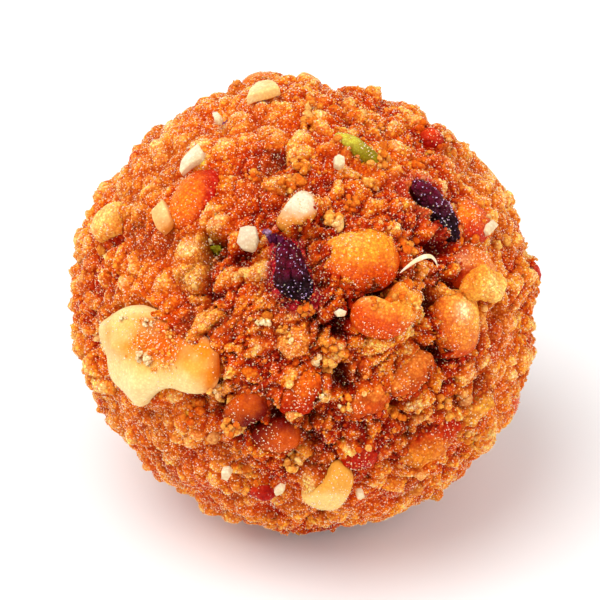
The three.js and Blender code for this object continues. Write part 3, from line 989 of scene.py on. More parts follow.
fruit_finish = grainy_material(
    "red_fruit", grain=0.3, bump=0.07, redder=0.3, vary=0.25, pale=PALE_AMBER, glint_speck=0.08,
    rough=0.35, gloss=0.04, facets=0.06, glow=0.5, depth=0.5,
)
pistachio_finish = grainy_material(
    "pistachio_flesh", grain=0.28, bump=0.06, redder=0.2, vary=0.3, pale=PALE_LEAF, glint_speck=0.03,
    rough=0.4, gloss=0.05, facets=0.08, glow=0.4, depth=0.5, spread=EVEN_SPREAD,
)
flake_finish = grainy_material(
    "nut_flake", grain=0.3, bump=0.03, redder=0.12, vary=0.15, pale=PALE_CREAM, glint_speck=0.03,
    rough=0.42, gloss=0.08, facets=0.05, glow=0.4, depth=0.4, spread=EVEN_SPREAD,
)


def cube_ball(squares):
    """A closed ball of squares: six square grids on a cube, joined where their whole-number places
    agree, with the tangent of the place spreading them evenly before they are drawn in to the sphere.
    Gives directions and faces."""
    run = np.arange(squares + 1) * 2 - squares
    first, second = np.meshgrid(run, run, indexing="ij")
    level = np.full_like(first, squares)
    sides = []
    for axis in range(3):
        for sign in (1, -1):
            place = np.empty((squares + 1, squares + 1, 3), dtype=np.int64)
            place[..., axis] = sign * level
            place[..., (axis + 1) % 3] = first if sign > 0 else second
            place[..., (axis + 2) % 3] = second if sign > 0 else first
            sides.append(place.reshape(-1, 3))
    corner = np.arange((squares + 1) ** 2).reshape(squares + 1, squares + 1)
    square = np.stack([corner[:-1, :-1], corner[1:, :-1], corner[1:, 1:], corner[:-1, 1:]], axis=-1)
    square = square.reshape(-1, 4)
    faces = np.concatenate([square + side * (squares + 1) ** 2 for side in range(6)])
    places, where = np.unique(np.concatenate(sides), axis=0, return_inverse=True)
    return unit(np.tan(places / squares * math.pi / 4)), where.reshape(-1)[faces]


def rest_flat(points):
    """Points below the rest spot are brought up to its plane."""
    points[:, 2] = np.maximum(points[:, 2], -CENTRE_HEIGHT)
    return points


def make_skin():
    """The crumb's skin, over the whole ball and flat where it rests."""
    directions, faces = cube_ball(SKIN_SQUARES)
    spots = crumb_surface(directions)
    points = rest_flat(raised(spots, 0.0))
    skin = make_piece("crumb_skin", points, faces, crumb_tint(spots), crumb_finish)
    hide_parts("crumb_ball")


make_skin()


# How much faster each of red, green and blue darkens in painted shade: in a kernel's creases, and on
# strewn bodies between their beads and towards the ball
WARM_SHADE = np.array((1.0, 1.6, 2.2))
# Light and dark colours of each kernel and the turn, seen on the best side, that its light end faces:
# partly its own two tones, partly painted light and shade
KIND_PAINTS = {
    "peanut": (paint(250, 142, 36), paint(222, 76, 8), 110.0),
    "cashew": (paint(238, 212, 150), paint(234, 168, 70), 200.0),
    "raisin": (paint(112, 10, 48), paint(40, 2, 20), 120.0),
    "cranberry": (paint(236, 72, 22), paint(180, 20, 8), 110.0),
    "pistachio": (paint(208, 190, 60), paint(138, 120, 6), 150.0),
}
# Each kernel's own light and dark colours and turn, likewise partly painted light and shade
OWN_PAINTS = {
    "peanut_1": (paint(252, 158, 34), paint(220, 66, 0), 100.0),
    "peanut_2": (paint(255, 162, 48), paint(224, 80, 6), 60.0),
    "peanut_3": (paint(255, 178, 60), paint(216, 76, 4), 60.0),
    "peanut_4": (paint(244, 134, 32), paint(194, 54, 2), 350.0),
    "peanut_5": (paint(254, 132, 22), paint(206, 42, 0), 140.0),
    "peanut_6": (paint(248, 118, 8), paint(200, 26, 0), 175.0),
    "peanut_7": (paint(250, 150, 42), paint(206, 40, 2), 250.0),
    "peanut_8": (paint(242, 138, 48), paint(218, 84, 18), 110.0),
    "peanut_9": (paint(242, 138, 48), paint(218, 84, 18), 110.0),
    "peanut_10": (paint(251, 172, 58), paint(210, 72, 6), 300.0),
    "peanut_11": (paint(208, 84, 10), paint(116, 10, 0), 110.0),
    "peanut_12": (paint(208, 82, 10), paint(122, 12, 0), 300.0),
    "peanut_13": (paint(250, 124, 24), paint(200, 38, 0), 110.0),
    "peanut_14": (paint(255, 210, 112), paint(250, 164, 60), 110.0),
    "cranberry_1": (paint(246, 92, 28), paint(196, 30, 6), 110.0),
    "cashew_2": (paint(240, 226, 196), paint(226, 140, 44), 100.0),
    "cashew_3": (paint(242, 206, 122), paint(236, 164, 60), 250.0),
}
KIND_FINISH = {
    "peanut": peanut_finish,
    "cashew": cashew_finish,
    "raisin": raisin_finish,
    "cranberry": fruit_finish,
    "pistachio": pistachio_finish,
}
# Relief of each kind: height and spacing of its swells and of its dimples, and height of its wrinkles
KIND_RELIEF = {
    "peanut": (0.4, 4.2, 0.18, 1.5, 0.0),
    "cashew": (0.3, 5.0, 0.1, 2.0, 0.0),
    "raisin": (0.3, 3.0, 0.2, 1.3, 0.5),
    "cranberry": (0.25, 2.2, 0.15, 1.0, 0.2),
    "pistachio": (0.1, 2.0, 0.06, 0.8, 0.0),
}
# Kernels so coated with crumb that they look like fingers of it
COATED = (
    "peanut_7", "peanut_8", "peanut_9", "peanut_10", "peanut_13", "peanut_16", "peanut_19", "peanut_22",
)
COAT_RELIEF = (0.5, 3.0, 0.4, 1.1, 0.2)
# Kernels that keep their red-brown skin
SKIN_ON = ("peanut_11", "peanut_12")
# Noises of the kernels, each by its spacing in millimetres and its seed; swells and dimples have their
# kind's spacing
SWELL_SEED = 80
DIMPLE_SEED = 81
WRINKLE_WARP = (1.2, 82)
WRINKLES = (1.3, 83)
TONE_PATCHES = (2.2, 84)
FINE_TONE_PATCHES = (0.7, 85)
CASHEW_SWELL = (3.4, 86)
CASHEW_MARK_EDGE = (1.2, 88)
HIGHLIGHT_AND_SHADE_EDGE = (0.9, 89)
# How finely a kernel is divided from pole to pole and round it, by whether it is a short one
SHORT_KERNEL = 8.0
SHORT_GRID = (40, 36)
LONG_GRID = (56, 48)


def grid_faces(rows, columns):
    """Triangles between neighbouring rows and round the columns, with the first and last row each drawn
    to one point."""
    corner = 1 + np.arange((rows - 2) * columns).reshape(rows - 2, columns)
    beside = np.roll(corner, -1, axis=1)
    squares = np.stack([corner[:-1], corner[1:], beside[1:], beside[:-1]], axis=-1).reshape(-1, 4)
    last = 1 + (rows - 2) * columns
    start = np.stack([np.zeros(columns, dtype=int), corner[0], beside[0]], axis=-1)
    end = np.stack([corner[-1], np.full(columns, last), beside[-1]], axis=-1)
    return np.concatenate([squares[:, [0, 1, 2]], squares[:, [0, 2, 3]], start, end])


def slip_faces(slip):
    """The triangles of a slip's surface."""
    return grid_faces(slip["rows"], len(slip["rim"]))


def shaped_by(kind, points, outward, coated=False):
    """Points moved outwards by swells, dimples and wrinkles of their kind, and the painted shade that
    darkens them in the wrinkles' creases."""
    swell, swell_mm, dimple, dimple_mm, wrinkle = COAT_RELIEF if coated else KIND_RELIEF[kind]
    near, second, _ = lumps(points + 0.5 * drift_vectors(points, *WRINKLE_WARP), *WRINKLES)
    cushion = pillow(near, second, 0.7)
    rise = swell * drift(points, swell_mm, SWELL_SEED) + dimple * drift(points, dimple_mm, DIMPLE_SEED)
    rise = rise + wrinkle * (cushion - 0.8)
    return points + outward * rise[:, None], 1.0 - np.minimum(1.0, 1.6 * wrinkle) * (1.0 - cushion)


def toned_and_shaded(nut, points, outward, face):
    """A colour that turns from a kernel's light end to its dark one, unevenly: partly its own two tones,
    partly painted light where it faces outwards and painted shade at its sides.
    """
    light, dark, turn = OWN_PAINTS.get(nut["name"], KIND_PAINTS[nut["kind"]])
    # Lighter where the kernel faces outwards and darker at its sides: painted light and shade
    share = 0.12 + 0.5 * (outward @ flat_to_side(math.radians(turn))) + 0.4 * (outward @ face)
    share = share + 0.25 * drift(points, *TONE_PATCHES) + 0.16 * drift(points, *FINE_TONE_PATCHES)
    return turned(dark, ease(0.0, 0.9, share), light)


# Painted highlights and shade on kernels: the pale patches are painted highlights, the deeper ones partly
# # painted shade at lower edges and partly the kernel's own tone. Place in picture pixels, radii to the right
# # and down, colour and strength
KERNEL_HIGHLIGHTS_AND_SHADES = {
    "peanut_1": [(350, 240, 16, 8, paint(255, 186, 96), 0.5), (366, 284, 26, 7, paint(226, 92, 14), 0.6)],
    "peanut_2": [(372, 299, 14, 5, paint(255, 184, 90), 0.7), (394, 330, 18, 7, paint(222, 74, 12), 0.5)],
    "peanut_3": [(463, 311, 7, 9, paint(255, 228, 172), 0.8), (452, 338, 10, 12, paint(236, 128, 30), 0.6)],
    "peanut_4": [(463, 259, 9, 7, paint(246, 186, 120), 0.4)],
    "peanut_6": [(187, 206, 8, 12, paint(250, 130, 18), 0.6)],
}


def highlighted_and_shaded(nut, points, tints):
    """A kernel's colours turned to that of each painted highlight and patch of shade on it, most at its
    place and less away from it as a bell."""
    right, down = pixels_of(points)
    for x, y, wide, high, colour, strength in KERNEL_HIGHLIGHTS_AND_SHADES.get(nut["name"], []):
        bell = np.exp(-(((right - x) / wide) ** 2) - ((down - y) / high) ** 2)
        bell = np.clip(strength * bell * (1.0 + 0.5 * drift(points, *HIGHLIGHT_AND_SHADE_EDGE)), 0.0, 1.0)
        tints = turned(tints, bell, colour)
    return tints


def finish_nut(nut, points, faces, tints, material):
    """A kernel's mesh, put in place of its solid."""
    tints = highlighted_and_shaded(nut, points, tints)
    piece = make_piece(nut["name"] + "_kernel", points, faces, tints, material)
    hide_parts(nut["name"])


def make_kernel(nut):
    """One kernel or fruit: its solid's form with swells, dimples and wrinkles and a colour that turns
    from a light end to a dark one, partly painted light and shade, with painted shade in its creases."""
    rows, columns = SHORT_GRID if nut["length"] < SHORT_KERNEL else LONG_GRID
    x, y, z = kernel_grid(rows, columns)
    ball = np.stack([x, y, z], axis=-1)
    points = fitted(nut, kernel_outline(nut, x, y, z))
    points, ball = (
        np.concatenate([grid[0, :1], grid[1:-1].reshape(-1, 3), grid[-1, :1]]) for grid in (points, ball)
    )
    outward = unit(ball @ nut["axes"])
    coated = nut["name"] in COATED
    points, crease_shade = shaped_by(nut["kind"], points, outward, coated)
    # Painted shade in the wrinkles' creases
    tints = toned_and_shaded(nut, points, outward, nut["axes"][2]) * crease_shade[:, None] ** WARM_SHADE
    finish = clump_finish if coated else KIND_FINISH[nut["kind"]]
    finish = skin_on_finish if nut["name"] in SKIN_ON else finish
    finish_nut(nut, points, grid_faces(rows, columns), tints, finish)


def make_slip_nut(nut):
    """A piece that is a slip, swollen and dimpled, with a colour that turns from a light end to a dark
    one, partly painted light and shade, with painted shade in its creases."""
    points = slip_points(nut)
    face = nut["axes"][2]
    points, crease_shade = shaped_by(nut["kind"], points, face)
    # Painted shade in the wrinkles' creases
    tints = toned_and_shaded(nut, points, unit(points - nut["middle"]), face) * crease_shade[:, None] ** WARM_SHADE
    finish_nut(nut, points, slip_faces(nut), tints, KIND_FINISH[nut["kind"]])


# The large cashew piece: swells and hollows by place in picture pixels, radius and height, and its syrup
# # stains and patches of painted shade by place, radii to the right and down, colour and strength
CASHEW_SWELLS = [
    (194, 369, 19, 0.9),
    (139, 386, 14, 1.0),
    (117, 345, 9, 1.0),
    (167, 372, 12, -0.7),
    (150, 342, 15, -0.9),
]
CASHEW_CREAM = paint(245, 218, 150)
CASHEW_STAINS_AND_SHADES = [
    (152, 344, 36, 22, paint(248, 192, 84), 0.9),
    (107, 334, 6, 18, paint(222, 164, 80), 0.7),
    (127, 324, 14, 9, paint(248, 204, 90), 0.7),
    # Painted shade over the right lobe
    (198, 366, 22, 20, paint(242, 182, 78), 1.0),
    (160, 321, 26, 9, paint(240, 160, 44), 0.9),
    (149, 344, 26, 16, paint(242, 146, 14), 1.2),
    (180, 332, 30, 15, paint(230, 98, 0), 1.7),
    (162, 362, 30, 13, paint(244, 178, 66), 0.8),
    (168, 349, 24, 11, paint(236, 108, 0), 1.4),
    (201, 350, 18, 9, paint(238, 138, 14), 1.2),
    # These two: painted shade deepening down the right lobe to its rim
    (212, 376, 11, 18, paint(232, 130, 10), 1.2),
    (218, 366, 6, 24, paint(206, 92, 14), 0.9),
]
# Which of those marks are syrup stains, and the piece's place among the nuts
SYRUPY = slice(4, 9)
BROAD = [index for index, nut in enumerate(nuts) if nut["name"] == "cashew_1"]


def cashew_mark(points, mark):
    """How strongly a mark shows on the large cashew piece, syrup stain and painted shade alike: a bell
    about its place, ragged by noise.
    """
    x, y, wide, high, _, strength = mark
    right, down = pixels_of(points)
    far = ((right - x) / wide) ** 2 + ((down - y) / high) ** 2
    return np.clip(strength * np.exp(-far) * (1.0 + 0.5 * drift(points, *CASHEW_MARK_EDGE)), 0.0, 1.0)


def syrup_on_cashew(points):
    """How strongly syrup stains the large cashew piece."""
    return np.max([cashew_mark(points, mark) for mark in CASHEW_STAINS_AND_SHADES[SYRUPY]], axis=0)


def make_broad_cashew(nut):
    """The large cashew piece: a slip with swells and hollows, cream where it is bare and amber where
    syrup stains it, with painted shade on its right lobe and rim."""
    points = slip_points(nut)
    right, down = pixels_of(points)
    rise = 0.15 * drift(points, *CASHEW_SWELL)
    for x, y, wide, height in CASHEW_SWELLS:
        rise = rise + height * np.exp(-((right - x) ** 2 + (down - y) ** 2) / wide**2)
    points = points + nut["axes"][2] * rise[:, None]
    tints = np.tile(CASHEW_CREAM, (len(points), 1))
    for mark in CASHEW_STAINS_AND_SHADES:
        tints = turned(tints, cashew_mark(points, mark), mark[4])
    finish_nut(nut, points, slip_faces(nut), tints, cashew_finish)


for nut in nuts:
    if nut["name"] == "cashew_1":
        make_broad_cashew(nut)
    elif "rim" in nut:
        make_slip_nut(nut)
    else:
        make_kernel(nut)


def tetrahedron():
    """The four corners and four faces of a tetrahedron of radius 1."""
    corners = unit(np.array([(1, 1, 1), (1, -1, -1), (-1, 1, -1), (-1, -1, 1)], dtype=float))
    return corners, np.array([(0, 1, 2), (0, 2, 3), (0, 3, 1), (1, 3, 2)])


def icosahedron():
    """The twelve corners and twenty faces of an icosahedron of radius 1."""
    golden = (1 + math.sqrt(5)) / 2
    corners = np.array([
        (-1, golden, 0), (1, golden, 0), (-1, -golden, 0), (1, -golden, 0),
        (0, -1, golden), (0, 1, golden), (0, -1, -golden), (0, 1, -golden),
        (golden, 0, -1), (golden, 0, 1), (-golden, 0, -1), (-golden, 0, 1),
    ])
    faces = np.array([
        (0, 11, 5), (0, 5, 1), (0, 1, 7), (0, 7, 10), (0, 10, 11), (1, 5, 9), (5, 11, 4), (11, 10, 2),
        (10, 7, 6), (7, 1, 8), (3, 9, 4), (3, 4, 2), (3, 2, 6), (3, 6, 8), (3, 8, 9), (4, 9, 5),
        (2, 4, 11), (6, 2, 10), (8, 6, 7), (9, 8, 1),
    ])
    return unit(corners), faces


def finer(body):
    """Each triangle split into four at the middles of its edges, drawn out to the sphere, with shared
    points joined."""
    corners, faces = body
    a, b, c = (corners[faces[:, side]] for side in range(3))
    ab, bc, ca = unit(a + b), unit(b + c), unit(c + a)
    quarters = np.stack([a, ab, ca, ab, b, bc, ca, bc, c, ab, bc, ca], axis=1).reshape(-1, 3)
    _, first, where = np.unique(quarters.round(6), axis=0, return_index=True, return_inverse=True)
    return quarters[first], where.reshape(-1, 3)


# Bodies that are strewn, with few faces because they are repeated often; only the few bits have a fine one
GRAIN_BODY = tetrahedron()
GRANULE_BODY = icosahedron()
CLUMP_BODY = cube_ball(3)
BIT_BODY = finer(finer(icosahedron()))


def turns(count, salt):
    """Turning matrices spread evenly at random, from three draws read as a unit quaternion."""
    a, b, c = (draws(count, salt + step) for step in range(3))
    w = np.sqrt(1 - a) * np.sin(2 * math.pi * b)
    x = np.sqrt(1 - a) * np.cos(2 * math.pi * b)
    y = np.sqrt(a) * np.sin(2 * math.pi * c)
    z = np.sqrt(a) * np.cos(2 * math.pi * c)
    rows = [
        [1 - 2 * (y * y + z * z), 2 * (x * y - z * w), 2 * (x * z + y * w)],
        [2 * (x * y + z * w), 1 - 2 * (x * x + z * z), 2 * (y * z - x * w)],
        [2 * (x * z - y * w), 2 * (y * z + x * w), 1 - 2 * (x * x + y * y)],
    ]
    return np.moveaxis(np.array(rows), 2, 0)


# How far a bead's border reaches, in spacings
BEAD_BORDER = 0.75
# Sides of a strewn body: the least of each, in half sizes, and what chance adds to it
BODY_SIDES = ((0.95, 0.45), (0.75, 0.3), (0.7, 0.3))


def strew(name, body, middles, half, tints, material, salt, bead=0.0, bead_mm=0.0, smooth=True):
    """Copies of one small body: each is stretched to a half size and uneven sides, turned its own way,
    set at its middle and beaded by cushions of the given height, as a share of the half size, and
    spacing. Its colour is its own, with painted shade where it is beaded: lighter on the beads and on its
    outer side, deeper and redder between the beads and towards the ball."""
    corners, faces = body
    count, size = len(middles), len(corners)
    sides = np.stack([
        least + more * draws(count, salt + step) for step, (least, more) in enumerate(BODY_SIDES)
    ])
    stretched = np.einsum("nij,vj,jn->nvi", turns(count, salt + 3), corners, sides) * half[:, None, None]
    points = (middles[:, None, :] + stretched).reshape(-1, 3)
    shade = np.ones(count * size)
    if bead:
        near, second, tone = lumps(points, bead_mm, salt + 9)
        cushion = pillow(near, second, BEAD_BORDER)
        away = unit(stretched.reshape(-1, 3))
        swell = bead * np.repeat(half, size) * (cushion * (0.5 + tone) - 0.5)
        points = points + away * swell[:, None]
        top = np.maximum(0.0, np.sum(away * np.repeat(unit(middles), size, axis=0), axis=1))
        # Painted shade: lighter on each bead and on the body's outer side, deeper towards the ball
        shade = 0.7 + 0.12 * cushion + 0.06 * tone + 0.18 * top
    every = (faces[None] + (np.arange(count) * size)[:, None, None]).reshape(-1, faces.shape[1])
    tint = np.repeat(tints, size, axis=0) * shade[:, None] ** WARM_SHADE
    make_piece(name, points, every, tint, material, smooth)


def strewn(count, jog, salt):
    """Directions along a spiral spun about the upright by the salt, each jogged at random."""
    spin = np.array([(math.cos(salt), -math.sin(salt), 0), (math.sin(salt), math.cos(salt), 0), (0, 0, 1)])
    jogs = np.stack([draws(count, salt + axis) for axis in range(3)], axis=-1) - 0.5
    return unit(spiral(count) @ spin.T + jog * jogs)


# How squarely a place must face away from the best side to be hidden from it
HIDDEN = 0.3
# How the far side is tipped, so that what lies low on the best side lies high on it
FAR_ANGLE = math.radians(30)
FAR_TIP = np.array([
    (1.0, 0.0, 0.0),
    (0.0, math.cos(FAR_ANGLE), -math.sin(FAR_ANGLE)),
    (0.0, math.sin(FAR_ANGLE), math.cos(FAR_ANGLE)),
])


def far_side(directions):
    """Directions turned half round the upright and tipped, from the best side to the side away from it."""
    return np.stack([-directions[..., 0], -directions[..., 1], directions[..., 2]], axis=-1) @ FAR_TIP


def above_floor(spots, margin):
    """Which spots clear the floor by a margin."""
    return spots["directions"][:, 2] * spots["radius"] > -CENTRE_HEIGHT + margin


# Golden crumbs on the best side: place across and up, length, and tone from orange (0) to pale (1 and above)
GOLDEN = np.array([
    (-0.7, 17.7, 3.9, 0.5), (-2.2, 16.0, 2.6, 0.4), (1.1, 25.1, 3.2, 0.5), (0.4, 23.6, 2.4, 0.4),
    (3.4, 10.6, 3.4, 0.6), (8.9, 16.0, 2.8, 0.6), (9.9, 18.9, 2.6, 0.5), (15.1, 18.3, 2.6, 0.0),
    (-6.6, 16.8, 2.4, 0.3), (26.2, 8.0, 2.6, 0.5), (17.8, -12.6, 3.0, 0.6), (12.0, -14.8, 3.6, 0.1),
    (20.9, -16.8, 2.6, 0.5), (-1.5, -20.2, 2.8, 0.6), (-5.2, -1.9, 1.9, 0.9), (-5.9, -2.3, 1.1, 1.0),
    (-2.9, -3.1, 1.9, 0.7), (-2.0, -4.2, 1.5, 0.8), (1.7, -7.2, 2.0, 0.9), (3.2, -8.0, 2.6, 0.6),
    (0.2, -0.6, 2.2, 0.3), (-11.0, -11.0, 2.4, 0.7), (3.2, -5.0, 2.6, 0.3), (5.2, -6.4, 2.0, 0.3),
    (22.4, 10.6, 1.8, 0.7), (10.6, 0.9, 2.4, 0.4), (12.6, 0.2, 2.0, 0.5), (8.2, 0.2, 1.8, 0.3),
    (13.0, 2.6, 2.0, 0.2), (-19.0, -5.9, 1.7, 1.3), (-18.2, -6.5, 1.3, 1.3), (-18.4, -2.0, 1.4, 1.3),
    (-21.4, -1.6, 1.0, 1.3), (-15.9, -3.4, 1.2, 0.7), (-25.2, -3.4, 2.4, 0.6), (-24.8, -10.6, 2.4, 0.5),
    (-10.4, -12.2, 2.2, 0.6), (-9.2, -15.0, 2.6, 0.4), (-14.4, -14.0, 3.2, 0.2), (6.0, 13.4, 2.4, 0.2),
    (13.4, 7.6, 3.0, 0.2), (2.6, -11.4, 1.6, 0.8), (5.2, -12.9, 1.8, 0.8), (13.8, -13.0, 1.9, 0.8),
])
GOLDEN_PAINTS = [paint(238, 108, 20), paint(248, 148, 44), paint(254, 188, 86), paint(255, 230, 176)]
GOLDEN_SEED = 95
# How many bodies heap up to a crumb, and how wide and high the heap is as shares of the crumb's length
HEAPED_BODIES = 9
HEAP_RADIUS = 0.36
HEAP_HEIGHT = 0.3
# Beads of each kind of crumb: height as a share of the half size, and spacing in millimetres
GOLDEN_BEADS = (0.4, 0.5)
BIT_BEADS = (0.7, 0.4)
CLUMP_BEADS = (0.25, 0.55)


def make_golden_crumbs():
    """Knobbly crumbs on the best side and its far one, each a heap of a few bodies about its own place
    on whatever lies there: they lie within a disc, the nearer its middle the higher."""
    golden = np.repeat(GOLDEN, HEAPED_BODIES, axis=0)
    turn = 2 * math.pi * draws(len(golden), GOLDEN_SEED)
    out = np.sqrt(draws(len(golden), GOLDEN_SEED + 1))
    across = golden[:, 0] + HEAP_RADIUS * golden[:, 2] * out * np.cos(turn)
    up = golden[:, 1] + HEAP_RADIUS * golden[:, 2] * out * np.sin(turn)
    shown = seen(across, up)
    spots = over_kernels(crumb_surface(np.concatenate([shown, far_side(shown)])))
    length, tone, out = (np.tile(run, 2) for run in (golden[:, 2], golden[:, 3], out))
    kept = above_floor(spots, 1.5) & (spots["directions"] @ OUT < -HIDDEN)
    kept[: len(golden)] = True
    spots = chosen(spots, kept)
    length, tone, out = length[kept], tone[kept], out[kept]
    count = len(length)
    half = length * (0.11 + 0.1 * draws(count, GOLDEN_SEED + 2))
    tones = np.clip(tone + 0.6 * (draws(count, GOLDEN_SEED + 3) - 0.6), 0.0, 1.0)
    heaped = raised(spots, HEAP_HEIGHT * length * (1.0 - out**2))
    tints = pick(GOLDEN_PAINTS, tones)
    strew("golden_crumbs", CLUMP_BODY, heaped, half, tints, clump_finish, GOLDEN_SEED + 5, *GOLDEN_BEADS)


# A golden block of nut on the kernel at the right, by its outline in picture pixels
GOLDEN_BLOCK = [
    (466, 284), (469, 272), (478, 267), (490, 270), (499, 279), (502, 292), (494, 302), (484, 303),
    (475, 297),
]
BLOCK_PAINTS = [paint(236, 130, 28), paint(250, 174, 62), paint(254, 212, 122)]
# Noises of the block, each by its spacing in millimetres and its seed
BLOCK_WARP = (1.8, 90)
FINE_BLOCK_WARP = (0.8, 93)
BLOCK_TONES = (1.2, 94)
BLOCK_BEADS = (0.8, 99)


def make_golden_block():
    """A rounded block, beaded all over, with painted light that makes it paler towards its lower right
    and where it faces outwards.
    """
    block = laid_slip(GOLDEN_BLOCK, level=2.0, thick=3.6, squareness=2.6, rounding=2, fineness=2)
    points = slip_points(block)
    points = points + 0.5 * drift_vectors(points, *BLOCK_WARP) + 0.2 * drift_vectors(points, *FINE_BLOCK_WARP)
    near, second, tone = lumps(points, *BLOCK_BEADS)
    bead = pillow(near, second, BEAD_BORDER) * (0.5 + tone)
    points = points + unit(points - block["middle"]) * (0.3 * (bead - 0.5))[:, None]
    # Painted light: paler towards the lower right and where the block faces outwards
    lit = unit(points - block["middle"]) @ unit(0.5 * RIGHT - 0.4 * UP + 0.4 * block["axes"][2])
    tones = np.clip(0.4 + 0.5 * lit + 0.3 * drift(points, *BLOCK_TONES), 0.0, 1.0)
    tints = pick(BLOCK_PAINTS, tones)
    make_piece("golden_block", points, slip_faces(block), tints, peanut_finish)


# Small bits of seed and fruit, and pale lilac bits that paint highlights on the torn raisin's upper left:
# place in picture pixels, half length, and colour
BITS = [
    ((207, 241), 0.7, paint(138, 130, 14)),
    ((203, 235), 0.4, paint(236, 206, 150)),
    # These two paint highlights on the torn raisin's upper left
    ((264, 231), 0.3, paint(140, 90, 130)),
    ((268, 233), 0.4, paint(178, 140, 176)),
    ((270, 238), 0.45, paint(104, 40, 84)),
    ((275, 239), 0.5, paint(84, 18, 58)),
    ((281, 242), 0.45, paint(96, 20, 60)),
    ((219, 112), 0.5, paint(150, 70, 96)),
]
BIT_SEED = 105


def make_bits():
    """Small beaded bits, each at its own place."""
    spots = over_kernels(crumb_surface(seen(*spot_of([place for place, _, _ in BITS]))))
    half = np.array([size for _, size, _ in BITS])
    tints = np.stack([colour for _, _, colour in BITS])
    strew("seed_bits", BIT_BODY, raised(spots, 0.1), half, tints, clump_finish, BIT_SEED, *BIT_BEADS)


# Clumps of crumb where the crumb is craggy: how many are tried
CLUMPS = 260
CLUMP_SEED = 110


def make_clumps():
    """Beaded clumps sunk in the crumb, kept by chance where it is craggy and clear of the kernels."""
    spots = crumb_surface(strewn(CLUMPS, 0.12, CLUMP_SEED))
    wanted = draws(CLUMPS, CLUMP_SEED + 3) < 0.5 * spots["crag"]
    spots = chosen(spots, wanted & (spots["reach"] > 1.25) & above_floor(spots, 1.6))
    count = len(spots["reach"])
    half = 0.5 + 0.6 * draws(count, CLUMP_SEED + 4) ** 2
    tints = crumb_tint(spots, 0.1 + 0.25 * draws(count, CLUMP_SEED + 5))
    sunk = raised(spots, -0.35 * half)
    strew("crumb_clumps", CLUMP_BODY, sunk, half, tints, clump_finish, CLUMP_SEED + 10, *CLUMP_BEADS)


# Crumbs that lap over the edge of each kernel: how many are tried on each
LAPPING = 14
LAPPING_SEED = 148
RIM_SEED = 150


def rim_places(nut, salt):
    """Places along a kernel's edge, spread by chance."""
    turn = (np.arange(LAPPING) + 0.8 * draws(LAPPING, salt)) * 2 * math.pi / LAPPING
    return fitted(nut, kernel_outline(nut, np.cos(turn), np.sin(turn), np.zeros(LAPPING)))


def make_lapping_crumbs():
    """Crumbs along the edges of the kernels, most of those that don't fall on another bare kernel."""
    kernels = [index for index, nut in enumerate(nuts) if "rim" not in nut]
    places = np.concatenate([rim_places(nuts[index], RIM_SEED + index) for index in kernels])
    spots = over_kernels(crumb_surface(unit(places)))
    own = np.repeat(kernels, LAPPING)
    wanted = (spots["which"] == own) | ~spots["bare"]
    spots = chosen(spots, wanted & above_floor(spots, 0.9) & (draws(len(places), LAPPING_SEED) < 0.8))
    count = len(spots["reach"])
    half = 0.25 + 0.4 * draws(count, LAPPING_SEED + 1) ** 2
    tints = crumb_tint(spots, 0.1 + 0.3 * (draws(count, LAPPING_SEED + 3) - 0.3))
    strew("lapping_crumbs", GRANULE_BODY, raised(spots, -0.1), half, tints, granule_finish, LAPPING_SEED + 42)


# Granules half sunk in the crumb, three kinds: how many are tried, the colour each is drawn towards and how
# # far, the lift of its own crumb colour, and the least and most that it may stand to be kept. The golden
# ones,
# # kept high on the lumps, are partly painted light, and the red ones, kept low in the gaps, partly painted
# shade
GRANULE_KINDS = {
    "amber_granules": (9500, TAN_CRUMB, 0.15, 0.1, 0.0, 1.0),
    "golden_granules": (13000, paint(246, 162, 62), 0.35, 0.15, 0.45, 1.0),
    "red_granules": (8000, paint(190, 40, 4), 0.35, 0.0, 0.0, 0.55),
}
GRANULE_SEED = 200
GRAIN_SEED = 300
SEED_STEP = 20
# How far strewn granules and grains are jogged, as a share of the ball's radius
STREWN_JOG = 0.03
# Colours of the granules that lie in the large cashew piece's syrup
CASHEW_SYRUP = [paint(240, 120, 20), paint(250, 166, 58), paint(254, 206, 120)]


def on_bare(spots, some):
    """Which spots lie on the bare surface of some nuts, given by their places in the list."""
    return spots["bare"] & np.isin(spots["which"], some)


def make_granules():
    """Granules of each kind where the crumb stands as its kind wants, most where it is craggy, and in
    the syrup on the large cashew piece."""
    for step, (name, (count, colour, pull, lift, least, most)) in enumerate(GRANULE_KINDS.items()):
        salt = GRANULE_SEED + SEED_STEP * step
        spots = crumb_surface(strewn(count, STREWN_JOG, salt))
        luck = draws(count, salt + 19)
        stands = spots["stand"] + 0.25 * (draws(count, salt + 3) - 0.5)
        wanted = ~spots["bare"] & (stands >= least) & (stands <= most) & (luck < 0.08 + 0.8 * spots["crag"])
        spots = over_kernels(spots)
        syrup = syrup_on_cashew(raised(spots, 0.0))
        wanted = wanted | (on_bare(spots, BROAD) & (luck < syrup - 0.2))
        spots = chosen(spots, wanted & above_floor(spots, 0.5))
        kept = len(spots["reach"])
        half = 0.13 + 0.2 * draws(kept, salt + 4) ** 2
        own = crumb_tint(spots, lift + 0.2 * (draws(kept, salt + 5) - 0.5))
        own = np.where(spots["bare"][:, None], pick(CASHEW_SYRUP, draws(kept, salt + 18)), own)
        tints = own + pull * (colour - own)
        strew(name, GRANULE_BODY, raised(spots, -0.3 * half), half, tints, granule_finish, salt + 6)


# Sugar grains, two kinds, pale specks that are partly sugar and partly painted glints: how many are tried,
# # the least half size and how much is added to it by chance, the pale and the warm end of their colour, and
# # the share of those over kernels that stay
GRAIN_KINDS = {
    "white_sugar_glints": (51000, 0.085, 0.065, paint(255, 248, 236), paint(255, 226, 184), 0.5),
    "honey_sugar_glints": (34000, 0.085, 0.065, paint(255, 238, 190), paint(252, 184, 84), 0.9),
}
# Grains on raisins are lilac: painted glints of their sugar
LILAC_SUGAR_GLINT = paint(214, 178, 220)


